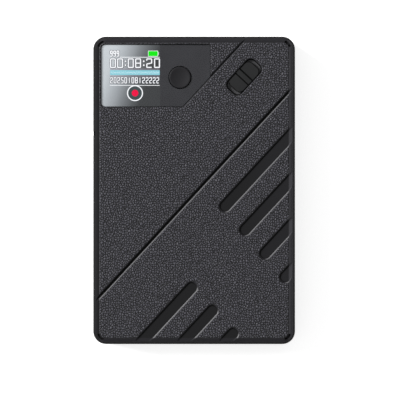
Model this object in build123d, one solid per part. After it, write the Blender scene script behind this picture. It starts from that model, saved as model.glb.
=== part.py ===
"""Card-shaped handheld voice recorder, lying on its back.

The body is a moulded front shell over a screwed rear cover. A bonded window with a clipped
corner covers the small screen and surrounds a round press button. A slide switch knob and a
family of diagonal grooves run across the face. Inside are the board with its switches,
charging port and microphone, and a pouch battery below it.

Units are millimetres. +Z points out of the face, +Y towards the window end, and the origin
is the centre of the back face.
"""

import os
from math import atan, cos, degrees, pi, radians, sin, tan

from build123d import *

# Case
WIDTH = 63.0
LENGTH = 96.0
THICKNESS = 10.0
CORNER_RADIUS = 4.0
FRONT_EDGE_RADIUS = 2.0
BACK_EDGE_RADIUS = 1.2
FACE_WALL = 1.8
SIDE_WALL = 1.6
REAR_WALL = 1.4
PARTING_Z = 2.2
LAP_SKIN = 0.8
LAP_HEIGHT = 1.0
LAP_CLEARANCE = 0.05
SEAM_DEPTH = 0.15
SEAM_HALF_HEIGHT = 0.12
CORNER_RELIEF_INSET = 1.6
CORNER_RELIEF_WIDTH = 0.75
CORNER_RELIEF_DEPTH = 0.5
CORNER_RELIEF_SWEEP = 40.0

# Diagonal face pattern, counted from the lower right corner of the case
DIAGONAL_ANGLE = 47.25
GROOVE_COUNT = 4
GROOVE_FIRST = 16.5
GROOVE_PITCH = 9.57
GROOVE_WIDTH = 3.9
GROOVE_DEPTH = 0.3
GROOVE_SLOPE_RUN = 0.5
RIGHT_TIP_START = 11.4
RIGHT_TIP_STEP = 1.15
LOWER_TIP_START = -8.8
LOWER_TIP_STEP = 0.9
SEAM_WIDTH = 1.1
SEAM_CUT_DEPTH = 0.42
FINE_SEAM_WIDTH = 0.6
FINE_SEAM_DEPTH = 0.3
FINE_SEAM_OFFSET = 0.15

# Window and screen
WINDOW_FROM_LEFT = 2.7
WINDOW_FROM_TOP = 2.7
WINDOW_WIDTH = 33.8
WINDOW_HEIGHT = 19.2
WINDOW_CLIP_X = 8.6
WINDOW_CORNER_RADIUS = 1.1
WINDOW_SMALL_RADIUS = 0.4
WINDOW_THICKNESS = 0.8
WINDOW_SET_BACK = 0.1
WINDOW_GAP = 0.15
TAPE_THICKNESS = 0.15
TAPE_INSET = 0.1
SCREEN_LEDGE = 0.9
SCREEN_OPENING_WIDTH = 17.6
SCREEN_OVERLAP = 0.9
GASKET_THICKNESS = 0.3
GASKET_RIM = 0.8
SCREEN_GLASS_THICKNESS = 0.7
BACKLIGHT_THICKNESS = 1.0
BACKLIGHT_INSET = 0.2
BRACKET_WALL = 0.5
BRACKET_RIM = 0.6
BRACKET_CLEARANCE = 0.1
BRACKET_CORNER_RADIUS = 2.0
FLEX_WIDTH = 9.0
FLEX_THICKNESS = 0.15
FLEX_TAIL = 4.2
FLEX_REACH = 1.5

# Press button and its switch
BUTTON_FROM_WINDOW_RIGHT = 9.4
BUTTON_FROM_WINDOW_TOP = 10.15
BUTTON_DIAMETER = 6.7
BUTTON_GAP = 0.25
BUTTON_PROUD = 0.1
BUTTON_DISH_DEPTH = 0.3
BUTTON_DISH_INSET = 0.45
BUTTON_EDGE_RADIUS = 0.2
BUTTON_FLANGE = 0.75
BUTTON_FLANGE_THICKNESS = 0.5
BUTTON_TRAVEL = 0.3
BUTTON_FLANGE_GAP = 0.1
BUTTON_NUB = 0.3
PRESS_SWITCH_SIZE = 5.0
PRESS_BASE_HEIGHT = 1.0
PRESS_COVER_HEIGHT = 0.6
PRESS_WELL_DIAMETER = 3.6
PRESS_WELL_DEPTH = 0.5
DOME_DIAMETER = 3.3
DOME_THICKNESS = 0.1
DOME_GAP = 0.02
STEM_DIAMETER = 2.2
STEM_COLLAR_DIAMETER = 3.1
STEM_COLLAR_HEIGHT = 0.3
STEM_CLEARANCE = 0.1

# Slide knob and its switch
SLIDE_FROM_RIGHT = 15.9
SLIDE_FROM_TOP = 12.7
SLIDE_TRAVEL = 1.1
KNOB_LENGTH = 9.85
KNOB_WIDTH = 5.55
KNOB_CORNER_RADIUS = 1.8
KNOB_SET_BACK = 0.15
KNOB_CLEARANCE = 0.2
KNOB_LIFT = 0.06
KNOB_BAR_WIDTH = 1.5
KNOB_BAR_HEIGHT = 0.35
KNOB_NOTCH_WIDTH = 0.42
KNOB_NOTCH_DEPTH = 0.35
SLIDE_RECESS_DEPTH = 0.95
STALK_LENGTH = 3.6
STALK_WIDTH = 2.2
STALK_CLEARANCE = 0.15
RETAINER_LENGTH = 8.0
RETAINER_WIDTH = 5.0
RETAINER_THICKNESS = 0.5
RETAINER_GAP = 0.1
RETAINER_FIT = 0.05
SLIDE_SWITCH_LENGTH = 8.6
SLIDE_SWITCH_WIDTH = 3.4
SLIDE_BASE_HEIGHT = 1.0
SLIDE_COVER_HEIGHT = 0.5
LEVER_SIZE = 1.2
LEVER_FOOT_LENGTH = 2.2
LEVER_FOOT_WIDTH = 1.4
LEVER_FOOT_HEIGHT = 0.4
LEVER_REACH = 0.9
LEVER_CLEARANCE = 0.1
FORK_OVERLAP = 0.6

# Board
BOARD_DROP = 3.0
BOARD_THICKNESS = 1.0
BOARD_LENGTH = 32.5
BOARD_EDGE_GAP = 0.5
BOARD_CORNER_RADIUS = 1.0
BOARD_SCREWS_FROM_TOP_RIGHT = ((17.8, 5.0), (5.3, 30.5))
BOARD_SCREW_FROM_MIDDLE = (-7.9, 30.0)
POST_DIAMETER = 3.4
BOARD_SCREW_DIAMETER = 1.2
BOARD_SCREW_LENGTH = 3.2
BOARD_SCREW_HEAD_DIAMETER = 2.6
BOARD_SCREW_HEAD_HEIGHT = 0.8

# Case screws
SCREW_INSET_X = 4.5
SCREW_INSET_Y = 4.9
SCREW_BELOW_WINDOW = 3.3
BOSS_DIAMETER = 4.6
BOSS_FACE_Z = 2.6
PAD_DIAMETER = 6.0
SCREW_DIAMETER = 1.7
SCREW_LENGTH = 5.0
SCREW_PILOT_CLEARANCE = 0.05
SCREW_PILOT_EXTRA = 0.9
SCREW_HOLE_CLEARANCE = 0.3
SCREW_HEAD_DIAMETER = 3.2
SCREW_HEAD_HEIGHT = 1.0
COUNTERBORE_CLEARANCE = 0.4
COUNTERBORE_DEPTH = 1.2
CROSS_SHARE = 0.62
CROSS_WIDTH = 0.45
CROSS_DEPTH = 0.5

# Charging port
PORT_WIDTH = 8.94
PORT_HEIGHT = 3.16
PORT_LENGTH = 7.35
PORT_SHEET = 0.3
PORT_SET_BACK = 0.6
PORT_OPENING_CLEARANCE = 0.18
PORT_WING = 1.2
PORT_TONGUE_WIDTH = 6.69
PORT_TONGUE_THICKNESS = 0.7
PORT_TONGUE_LENGTH = 4.45
PORT_BASE_LENGTH = 2.2
PORT_BOARD_GAP = 0.15

# Microphone
MIC_FROM_TOP = 30.3
MIC_SLOT_WIDTH = 1.4
MIC_SLOT_BELOW_FACE = 0.5
MIC_SLOT_HEIGHT = 2.9
MIC_DIAMETER = 4.0
MIC_DEPTH = 1.5
MIC_BOOT_WALL = 0.35
MIC_BOOT_FRONT = 0.6
MIC_BOOT_GAP = 0.05
MIC_BOOT_CORNER_RADIUS = 0.5
MIC_HOLE_DIAMETER = 1.2
MIC_HOLE_RAISE = 1.1
MIC_MESH_THICKNESS = 0.15
MIC_MESH_SIZE = (2.6, 2.0)
MIC_PIN_DIAMETER = 0.4
MIC_PIN_PITCH = 1.6
MIC_PIN_OVERLAP = 1.0

# Battery
BATTERY_PAD_THICKNESS = 0.3
BATTERY_FOAM_THICKNESS = 0.8
BATTERY_BOSS_GAP = 0.7
BATTERY_END_GAP = 1.2
BATTERY_BOARD_GAP = 4.0
BATTERY_EDGE_RADIUS = 1.6
BATTERY_TERRACE = 2.6
GUARD_BOARD_WIDTH = 36.0
GUARD_BOARD_THICKNESS = 1.6
GUARD_BOARD_HEIGHT = 4.2
FOAM_STRIP_WIDTH = 8.0
FOAM_STRIP_LENGTH = 36.0
PAD_MARGIN = 4.0
SOCKET_X = 14.0
SOCKET_WIDTH = 6.0
SOCKET_DEPTH = 4.0
SOCKET_HEIGHT = 2.2
SOCKET_WALL = 0.5
SOCKET_FROM_BOARD_EDGE = 1.0
PLUG_CLEARANCE = 0.05
PLUG_LENGTH = 3.4
PLUG_PROUD = 0.6
LEAD_DIAMETER = 0.9
LEAD_PITCH = 1.5
LEAD_BEND = 1.1
LEAD_START_X = -12.0
LEAD_RED_STEP = 2.0

# Chips under the board: name, centre from the board's left and top edges, size
CHIPS = {
    "processor_chip": (24.5, 16.5, 7.0, 7.0, 0.9),
    "flash_memory_chip": (38.5, 19.5, 11.5, 10.0, 1.0),
    "charging_chip": (35.0, 9.0, 4.0, 4.0, 0.8),
    "clock_crystal": (17.5, 18.5, 3.2, 2.5, 0.8),
}
PASSIVE_SIZE = (1.0, 0.5, 0.5)
PASSIVE_PITCH = 1.6
PASSIVE_COLUMNS = 6
PASSIVE_ROWS = 2
PASSIVE_FROM_BOARD_LEFT = 20.5
PASSIVE_FROM_BOARD_TOP = 22.5

# Places worked out from the sizes above
HALF_WIDTH = WIDTH / 2
HALF_LENGTH = LENGTH / 2
INNER_FACE_Z = THICKNESS - FACE_WALL
BOARD_TOP_Z = INNER_FACE_Z - BOARD_DROP
BOARD_BOTTOM_Z = BOARD_TOP_Z - BOARD_THICKNESS
BOARD_HALF_WIDTH = HALF_WIDTH - SIDE_WALL - BOARD_EDGE_GAP
BOARD_TOP_Y = HALF_LENGTH - SIDE_WALL - BOARD_EDGE_GAP
BOARD_LOW_Y = BOARD_TOP_Y - BOARD_LENGTH
WINDOW_LEFT = -HALF_WIDTH + WINDOW_FROM_LEFT
WINDOW_RIGHT = WINDOW_LEFT + WINDOW_WIDTH
WINDOW_TOP = HALF_LENGTH - WINDOW_FROM_TOP
WINDOW_LOW = WINDOW_TOP - WINDOW_HEIGHT
WINDOW_TOP_Z = THICKNESS - WINDOW_SET_BACK
WINDOW_LOW_Z = WINDOW_TOP_Z - WINDOW_THICKNESS
WINDOW_LEDGE_Z = WINDOW_LOW_Z - TAPE_THICKNESS
SCREEN_OPENING_HEIGHT = WINDOW_HEIGHT - 2 * SCREEN_LEDGE
SCREEN_X = WINDOW_LEFT + SCREEN_LEDGE + SCREEN_OPENING_WIDTH / 2
SCREEN_Y = (WINDOW_TOP + WINDOW_LOW) / 2
SCREEN_WIDTH = SCREEN_OPENING_WIDTH + 2 * SCREEN_OVERLAP
SCREEN_HEIGHT = SCREEN_OPENING_HEIGHT + 2 * SCREEN_OVERLAP
GLASS_TOP_Z = INNER_FACE_Z - GASKET_THICKNESS
BACKLIGHT_TOP_Z = GLASS_TOP_Z - SCREEN_GLASS_THICKNESS
BACKLIGHT_LOW_Z = BACKLIGHT_TOP_Z - BACKLIGHT_THICKNESS
BUTTON_X = WINDOW_RIGHT - BUTTON_FROM_WINDOW_RIGHT
BUTTON_Y = WINDOW_TOP - BUTTON_FROM_WINDOW_TOP
BUTTON_HOLE_DIAMETER = BUTTON_DIAMETER + 2 * BUTTON_GAP
FLANGE_TOP_Z = INNER_FACE_Z - BUTTON_FLANGE_GAP
FLANGE_LOW_Z = FLANGE_TOP_Z - BUTTON_FLANGE_THICKNESS
PRESS_BASE_TOP_Z = BOARD_TOP_Z + PRESS_BASE_HEIGHT
PRESS_WELL_Z = PRESS_BASE_TOP_Z - PRESS_WELL_DEPTH
STEM_LOW_Z = PRESS_BASE_TOP_Z - STEM_CLEARANCE
STEM_TOP_Z = FLANGE_LOW_Z - BUTTON_NUB
DOME_TOP_Z = STEM_LOW_Z - DOME_GAP
SLIDE_X = HALF_WIDTH - SLIDE_FROM_RIGHT
SLIDE_Y = HALF_LENGTH - SLIDE_FROM_TOP
SLIDE_FLOOR_Z = THICKNESS - SLIDE_RECESS_DEPTH
SLIDE_BASE_TOP_Z = BOARD_TOP_Z + SLIDE_BASE_HEIGHT
LEVER_TOP_Z = SLIDE_BASE_TOP_Z + SLIDE_COVER_HEIGHT + LEVER_REACH
MIC_Y = HALF_LENGTH - MIC_FROM_TOP
MIC_BOOT_SIZE = MIC_DIAMETER + 2 * MIC_BOOT_WALL
MIC_BOOT_DEPTH = MIC_BOOT_FRONT + MIC_DEPTH
MIC_Z = INNER_FACE_Z - MIC_BOOT_SIZE / 2 - MIC_BOOT_GAP
PORT_Z = (BOARD_TOP_Z + BOARD_BOTTOM_Z) / 2
PORT_MOUTH_Y = HALF_LENGTH - PORT_SET_BACK
SCREW_X = HALF_WIDTH - SCREW_INSET_X
SCREW_Y = HALF_LENGTH - SCREW_INSET_Y
SCREW_LEFT_Y = WINDOW_LOW - SCREW_BELOW_WINDOW
BATTERY_LOW_Z = REAR_WALL + BATTERY_PAD_THICKNESS
BATTERY_TOP_Z = INNER_FACE_Z - BATTERY_FOAM_THICKNESS
BATTERY_HALF_WIDTH = SCREW_X - BOSS_DIAMETER / 2 - BATTERY_BOSS_GAP
BATTERY_LOW_Y = -HALF_LENGTH + SIDE_WALL + BATTERY_END_GAP
BATTERY_TOP_Y = BOARD_LOW_Y - BATTERY_BOARD_GAP
CELL_TOP_Y = BATTERY_TOP_Y - BATTERY_TERRACE

# How far a cutter reaches past what it cuts
PAST = 1.0
BASE = (Align.CENTER, Align.CENTER, Align.MIN)


def slab(outline, bottom, top, taper=0.0):
    """A flat outline extruded from one height to another."""
    return extrude(Pos(0, 0, bottom) * outline, amount=top - bottom, taper=taper)


def block(low, high):
    """A box between two corners."""
    size = [b - a for a, b in zip(low, high)]
    middle = [(a + b) / 2 for a, b in zip(low, high)]
    return Pos(*middle) * Box(*size)


def rod(x, y, diameter, bottom, top):
    """An upright cylinder."""
    return Pos(x, y, bottom) * Cylinder(diameter / 2, top - bottom, align=BASE)


def case_outline(inset=0.0):
    """The rounded rectangle of the case, moved in by an inset."""
    return RectangleRounded(
        WIDTH - 2 * inset, LENGTH - 2 * inset, CORNER_RADIUS - inset
    )


def case_screw_places():
    """Centres of the four case screws: one below the window and three in the corners."""
    return [
        (-SCREW_X, SCREW_LEFT_Y),
        (SCREW_X, SCREW_Y),
        (-SCREW_X, -SCREW_Y),
        (SCREW_X, -SCREW_Y),
    ]


def board_screw_places():
    """Centres of the screws that hold the board to the front shell's posts: two set from
    the board's top right corner and one from its middle line."""
    right = [(BOARD_HALF_WIDTH - x, BOARD_TOP_Y - y) for x, y in BOARD_SCREWS_FROM_TOP_RIGHT]
    x, y = BOARD_SCREW_FROM_MIDDLE
    return [*right, (x, BOARD_TOP_Y - y)]


def screw(diameter, length, head_diameter, head_height):
    """A pan-head screw with a cross recess, its head from z = 0 up and its shank above."""
    body = Cylinder(head_diameter / 2, head_height, align=BASE)
    body = fillet(body.edges().sort_by(Axis.Z)[0], head_height * 0.3)
    body += Pos(0, 0, head_height) * Cylinder(diameter / 2, length, align=BASE)
    for turn in (0, 90):
        bar = Box(head_diameter * CROSS_SHARE, CROSS_WIDTH, CROSS_DEPTH, align=BASE)
        body -= Rot(0, 0, turn) * bar
    return body


# --- Face pattern -------------------------------------------------------------------


def along_diagonal():
    """The frame of the diagonal pattern: its origin is the case's lower right corner, its
    x axis runs up the diagonal and its y axis towards the window."""
    return Location((HALF_WIDTH, -HALF_LENGTH, 0), (0, 0, DIAGONAL_ANGLE))


def groove_cutter(tip, offset, direction):
    """A flat-bottomed groove with sloped walls. It has a round end at its tip and runs
    out past the edge of the case in one direction along the diagonal."""
    reach = WIDTH + LENGTH
    floor_width = GROOVE_WIDTH - 2 * GROOVE_SLOPE_RUN
    half_floor = floor_width / 2
    middle = tip + direction * (GROOVE_WIDTH / 2 + reach / 2)
    outline = Pos(middle, offset) * SlotOverall(reach + 2 * half_floor, floor_width)
    slope = degrees(atan(GROOVE_SLOPE_RUN / GROOVE_DEPTH))
    cutter = slab(outline, THICKNESS - GROOVE_DEPTH, THICKNESS + PAST, taper=-slope)
    return along_diagonal() * cutter


def seam_cutter(start, end, offset, width, depth):
    """A fine groove of V section along the diagonal."""
    spread = width / 2 * (depth + PAST) / depth
    section = Polyline(
        (start, offset, THICKNESS - depth),
        (start, offset + spread, THICKNESS + PAST),
        (start, offset - spread, THICKNESS + PAST),
        close=True,
    )
    cutter = extrude(make_face(section), amount=end - start, dir=(1, 0, 0))
    return along_diagonal() * cutter


def face_grooves():
    """All the grooves that run out over the right edge and over the lower edge."""
    cutters = []
    for k in range(GROOVE_COUNT):
        offset = GROOVE_FIRST + k * GROOVE_PITCH
        right_tip = RIGHT_TIP_START + k * RIGHT_TIP_STEP
        cutters.append(groove_cutter(right_tip, offset, 1))
        if k < GROOVE_COUNT - 1:
            lower_tip = LOWER_TIP_START + k * LOWER_TIP_STEP
            cutters.append(groove_cutter(lower_tip, offset, -1))
    return cutters


def face_seams():
    """The long seam, one pitch past the last groove, and the fine one beside the window."""
    reach = WIDTH + LENGTH
    long_offset = GROOVE_FIRST + GROOVE_COUNT * GROOVE_PITCH
    frame = along_diagonal()
    clip_low = Vector(WINDOW_RIGHT - WINDOW_CLIP_X, WINDOW_LOW, 0)
    local = frame.inverse() * Pos(*clip_low)
    fine_start = local.position.X
    fine_offset = local.position.Y - FINE_SEAM_OFFSET
    return [
        seam_cutter(-reach, reach, long_offset, SEAM_WIDTH, SEAM_CUT_DEPTH),
        seam_cutter(fine_start, reach, fine_offset, FINE_SEAM_WIDTH, FINE_SEAM_DEPTH),
    ]


def corner_reliefs():
    """Shallow crescents in the face, one inside each corner of the case."""
    radius = CORNER_RADIUS - CORNER_RELIEF_INSET
    cutters = []
    for quarter in range(4):
        middle = 45 + 90 * quarter
        sign_x = 1 if quarter in (0, 3) else -1
        sign_y = 1 if quarter in (0, 1) else -1
        arc = CenterArc(
            (0, 0), radius, middle - CORNER_RELIEF_SWEEP / 2, CORNER_RELIEF_SWEEP
        )
        place = Pos(
            sign_x * (HALF_WIDTH - CORNER_RADIUS), sign_y * (HALF_LENGTH - CORNER_RADIUS)
        )
        outline = place * SlotArc(arc, CORNER_RELIEF_WIDTH)
        cutters.append(slab(outline, THICKNESS - CORNER_RELIEF_DEPTH, THICKNESS + PAST))
    return cutters


# --- Window and screen --------------------------------------------------------------


def window_outline(grow=0.0):
    """The window's outline: a rectangle with its lower right corner clipped off along
    the diagonal."""
    clip_y = WINDOW_CLIP_X * tan(radians(DIAGONAL_ANGLE))
    corners = [
        (WINDOW_LEFT, WINDOW_LOW),
        (WINDOW_RIGHT - WINDOW_CLIP_X, WINDOW_LOW),
        (WINDOW_RIGHT, WINDOW_LOW + clip_y),
        (WINDOW_RIGHT, WINDOW_TOP),
        (WINDOW_LEFT, WINDOW_TOP),
    ]
    outline = make_face(Polyline(*corners, close=True))
    by_x = outline.vertices().sort_by(Axis.X)
    outline = fillet(by_x[:2], WINDOW_CORNER_RADIUS)
    sharp = [v for v in outline.vertices() if any(
        abs(v.X - x) < 1e-6 and abs(v.Y - y) < 1e-6 for x, y in corners[1:4]
    )]
    outline = fillet(sharp, WINDOW_SMALL_RADIUS)
    return offset(outline, amount=grow) if grow else outline


def screen_opening(grow=0.0):
    """The rectangle through which the screen is seen, moved out by a margin."""
    return Pos(SCREEN_X, SCREEN_Y) * Rectangle(
        SCREEN_OPENING_WIDTH + 2 * grow, SCREEN_OPENING_HEIGHT + 2 * grow
    )


def button_circle(diameter):
    """A circle about the button's axis."""
    return Pos(BUTTON_X, BUTTON_Y) * Circle(diameter / 2)


def display_window():
    """The clear window, with a hole for the button."""
    return slab(
        window_outline() - button_circle(BUTTON_HOLE_DIAMETER),
        WINDOW_LOW_Z,
        WINDOW_TOP_Z,
    )


def window_tape():
    """The adhesive frame that bonds the window to its ledge."""
    outline = window_outline(-TAPE_INSET)
    outline -= screen_opening()
    outline -= button_circle(BUTTON_HOLE_DIAMETER)
    return slab(outline, WINDOW_LEDGE_Z, WINDOW_LOW_Z)


def display_gasket():
    """The foam frame between the screen and the ledge."""
    outline = screen_opening(SCREEN_OVERLAP) - screen_opening(
        SCREEN_OVERLAP - GASKET_RIM
    )
    return slab(outline, GLASS_TOP_Z, INNER_FACE_Z)


def display_glass():
    """The screen's glass."""
    body = slab(screen_opening(SCREEN_OVERLAP), BACKLIGHT_TOP_Z, GLASS_TOP_Z)
    return chamfer(body.edges().filter_by(Axis.Z), WINDOW_SMALL_RADIUS)


def display_backlight():
    """The backlight behind the glass, with rounded corners."""
    body = slab(
        screen_opening(SCREEN_OVERLAP - BACKLIGHT_INSET), BACKLIGHT_LOW_Z, BACKLIGHT_TOP_Z
    )
    return fillet(body.edges().filter_by(Axis.Z), WINDOW_SMALL_RADIUS)


def display_bracket():
    """The carrier that holds the screen over the board: a frame under the backlight with
    a low wall round it."""
    inner = SCREEN_OVERLAP + BRACKET_CLEARANCE
    outer = screen_opening(inner + BRACKET_WALL)
    outer = fillet(outer.vertices(), BRACKET_CORNER_RADIUS)
    wall_top = (BACKLIGHT_LOW_Z + BACKLIGHT_TOP_Z) / 2
    body = slab(outer - screen_opening(-BRACKET_RIM), BOARD_TOP_Z, BACKLIGHT_LOW_Z)
    return body + slab(outer - screen_opening(inner), BACKLIGHT_LOW_Z, wall_top)


def display_flex():
    """The screen's flexible tail: out over the bracket's wall, down, and along the board."""
    glass_edge = SCREEN_Y - SCREEN_HEIGHT / 2
    drop_y = glass_edge - FLEX_REACH
    high = BACKLIGHT_TOP_Z + FLEX_THICKNESS
    low = BOARD_TOP_Z
    line = [
        (glass_edge, high),
        (drop_y, high),
        (drop_y, low + FLEX_THICKNESS),
        (drop_y - FLEX_TAIL, low + FLEX_THICKNESS),
        (drop_y - FLEX_TAIL, low),
        (drop_y + FLEX_THICKNESS, low),
        (drop_y + FLEX_THICKNESS, high - FLEX_THICKNESS),
        (glass_edge, high - FLEX_THICKNESS),
    ]
    section = Polyline(
        *[(SCREEN_X - FLEX_WIDTH / 2, y, z) for y, z in line], close=True
    )
    return extrude(make_face(section), amount=FLEX_WIDTH, dir=(1, 0, 0))


# --- Press button -------------------------------------------------------------------


def record_button():
    """The round cap: dished on top, with a flange that keeps it in the case and a nub
    that rests on the switch's stem."""
    top = WINDOW_TOP_Z + BUTTON_PROUD
    cap = rod(BUTTON_X, BUTTON_Y, BUTTON_DIAMETER, FLANGE_LOW_Z, top)
    cap = fillet(cap.edges().sort_by(Axis.Z)[-1], BUTTON_EDGE_RADIUS)
    dish_half = BUTTON_DIAMETER / 2 - BUTTON_DISH_INSET
    dish_radius = (dish_half**2 + BUTTON_DISH_DEPTH**2) / (2 * BUTTON_DISH_DEPTH)
    dish_z = top - BUTTON_DISH_DEPTH + dish_radius
    cap -= Pos(BUTTON_X, BUTTON_Y, dish_z) * Sphere(dish_radius)
    flange_diameter = BUTTON_HOLE_DIAMETER + 2 * BUTTON_FLANGE
    cap += rod(BUTTON_X, BUTTON_Y, flange_diameter, FLANGE_LOW_Z, FLANGE_TOP_Z)
    return cap + rod(BUTTON_X, BUTTON_Y, STEM_DIAMETER, STEM_TOP_Z, FLANGE_LOW_Z)


def press_outline():
    """The press switch's square outline."""
    return Pos(BUTTON_X, BUTTON_Y) * Rectangle(PRESS_SWITCH_SIZE, PRESS_SWITCH_SIZE)


def press_switch_base():
    """The switch's moulded base, with the well that holds the dome."""
    body = slab(press_outline(), BOARD_TOP_Z, PRESS_BASE_TOP_Z)
    well = button_circle(PRESS_WELL_DIAMETER)
    return body - slab(well, PRESS_WELL_Z, PRESS_BASE_TOP_Z + PAST)


def press_switch_cover():
    """The switch's steel cover, bored for the stem and its collar."""
    low = PRESS_BASE_TOP_Z
    top = low + PRESS_COVER_HEIGHT
    hole = STEM_DIAMETER + 2 * STEM_CLEARANCE
    room = STEM_COLLAR_DIAMETER + 2 * STEM_CLEARANCE
    room_top = STEM_LOW_Z + STEM_COLLAR_HEIGHT + STEM_CLEARANCE
    body = slab(press_outline(), low, top)
    body -= rod(BUTTON_X, BUTTON_Y, hole, low - PAST, top + PAST)
    return body - rod(BUTTON_X, BUTTON_Y, room, low - PAST, room_top)


def press_switch_stem():
    """The stem that the button pushes, with a collar at its foot."""
    collar_top = STEM_LOW_Z + STEM_COLLAR_HEIGHT
    body = rod(BUTTON_X, BUTTON_Y, STEM_DIAMETER, STEM_LOW_Z, STEM_TOP_Z)
    return body + rod(BUTTON_X, BUTTON_Y, STEM_COLLAR_DIAMETER, STEM_LOW_Z, collar_top)


def press_switch_dome():
    """The snap dome under the stem, a thin spherical cap."""
    half = DOME_DIAMETER / 2
    height = DOME_TOP_Z - PRESS_WELL_Z
    radius = (half**2 + height**2) / (2 * height)
    centre = Pos(BUTTON_X, BUTTON_Y, DOME_TOP_Z - radius)
    shell = centre * Sphere(radius) - centre * Sphere(radius - DOME_THICKNESS)
    return shell & rod(BUTTON_X, BUTTON_Y, DOME_DIAMETER, PRESS_WELL_Z, DOME_TOP_Z)


# --- Slide switch -------------------------------------------------------------------


def on_slide(shape):
    """Turns a shape made about the origin to the knob's place and direction."""
    return Location((SLIDE_X, SLIDE_Y, 0), (0, 0, DIAGONAL_ANGLE)) * shape


def knob_outline(grow=0.0, stretch=0.0):
    """The knob's rounded outline, moved out by a margin and stretched along its travel."""
    return RectangleRounded(
        KNOB_LENGTH + 2 * grow + 2 * stretch,
        KNOB_WIDTH + 2 * grow,
        KNOB_CORNER_RADIUS + grow,
    )


def slide_recess():
    """What the slide knob takes out of the front shell: the recess it moves in and the
    slot for its stalk."""
    recess = slab(
        knob_outline(KNOB_CLEARANCE, SLIDE_TRAVEL - KNOB_CLEARANCE / 2),
        SLIDE_FLOOR_Z,
        THICKNESS + PAST,
    )
    slot = Rectangle(
        STALK_LENGTH + 2 * SLIDE_TRAVEL + 2 * STALK_CLEARANCE,
        STALK_WIDTH + 2 * STALK_CLEARANCE,
    )
    return on_slide(recess + slab(slot, INNER_FACE_Z - PAST, SLIDE_FLOOR_Z + PAST))


def slide_knob():
    """The knob: two flat pads either side of a raised bar, and a forked stalk."""
    pad_low = SLIDE_FLOOR_Z + KNOB_LIFT
    pad_top = THICKNESS - KNOB_SET_BACK
    body = slab(knob_outline(), pad_low, pad_top)
    body = fillet(body.faces().sort_by(Axis.Z)[-1].edges(), BUTTON_EDGE_RADIUS)
    for side in (-1, 1):
        notch = Pos(side * (KNOB_BAR_WIDTH + KNOB_NOTCH_WIDTH) / 2, 0) * Rectangle(
            KNOB_NOTCH_WIDTH, KNOB_WIDTH + 2 * PAST
        )
        body -= slab(notch, pad_top - KNOB_NOTCH_DEPTH, pad_top + PAST)
    bar = slab(
        Rectangle(KNOB_BAR_WIDTH, KNOB_WIDTH),
        pad_top - KNOB_NOTCH_DEPTH,
        pad_top + KNOB_BAR_HEIGHT,
    )
    bar = fillet(bar.faces().sort_by(Axis.Z)[-1].edges(), BUTTON_EDGE_RADIUS)
    stalk_low = LEVER_TOP_Z - FORK_OVERLAP
    stalk = slab(Rectangle(STALK_LENGTH, STALK_WIDTH), stalk_low, pad_low)
    fork = slab(
        Rectangle(LEVER_SIZE + LEVER_CLEARANCE, STALK_WIDTH + 2 * PAST),
        stalk_low - PAST,
        LEVER_TOP_Z + LEVER_CLEARANCE,
    )
    return on_slide(body + bar + stalk - fork)


def slide_retainer():
    """The plate clipped to the stalk under the front shell, which keeps the knob in."""
    top = INNER_FACE_Z - RETAINER_GAP
    outline = RectangleRounded(RETAINER_LENGTH, RETAINER_WIDTH, KNOB_NOTCH_WIDTH * 2)
    outline -= Rectangle(STALK_LENGTH + 2 * RETAINER_FIT, STALK_WIDTH + 2 * RETAINER_FIT)
    return on_slide(slab(outline, top - RETAINER_THICKNESS, top))


def slide_switch_base():
    """The slide switch's moulded base, with a channel for the lever's foot."""
    top = SLIDE_BASE_TOP_Z
    body = slab(Rectangle(SLIDE_SWITCH_LENGTH, SLIDE_SWITCH_WIDTH), BOARD_TOP_Z, top)
    channel = Rectangle(
        LEVER_FOOT_LENGTH + 2 * SLIDE_TRAVEL + 2 * LEVER_CLEARANCE,
        LEVER_FOOT_WIDTH + 2 * LEVER_CLEARANCE,
    )
    depth = LEVER_FOOT_HEIGHT + LEVER_CLEARANCE
    return on_slide(body - slab(channel, top - depth, top + PAST))


def slide_switch_cover():
    """The slide switch's steel cover, slotted for the lever."""
    outline = Rectangle(SLIDE_SWITCH_LENGTH, SLIDE_SWITCH_WIDTH)
    outline -= Rectangle(
        LEVER_SIZE + 2 * SLIDE_TRAVEL + 2 * LEVER_CLEARANCE,
        LEVER_SIZE + 2 * LEVER_CLEARANCE,
    )
    top = SLIDE_BASE_TOP_Z + SLIDE_COVER_HEIGHT
    return on_slide(slab(outline, SLIDE_BASE_TOP_Z, top))


def slide_switch_lever():
    """The lever that the knob's fork carries, with a foot in the base's channel."""
    foot_low = SLIDE_BASE_TOP_Z - LEVER_FOOT_HEIGHT - LEVER_CLEARANCE / 2
    foot_top = foot_low + LEVER_FOOT_HEIGHT
    foot = slab(Rectangle(LEVER_FOOT_LENGTH, LEVER_FOOT_WIDTH), foot_low, foot_top)
    lever = slab(Rectangle(LEVER_SIZE, LEVER_SIZE), foot_top, LEVER_TOP_Z)
    return on_slide(foot + lever)


# --- Charging port ------------------------------------------------------------------


def port_plane(y):
    """A plane across the port at some y, with its normal pointing into the case."""
    return Plane(origin=(0, y, PORT_Z), x_dir=(1, 0, 0), z_dir=(0, -1, 0))


def port_opening():
    """The opening in the case's end for the port."""
    outline = SlotOverall(
        PORT_WIDTH + 2 * PORT_OPENING_CLEARANCE, PORT_HEIGHT + 2 * PORT_OPENING_CLEARANCE
    )
    return extrude(port_plane(HALF_LENGTH + PAST) * outline, amount=SIDE_WALL + 2 * PAST)


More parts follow.
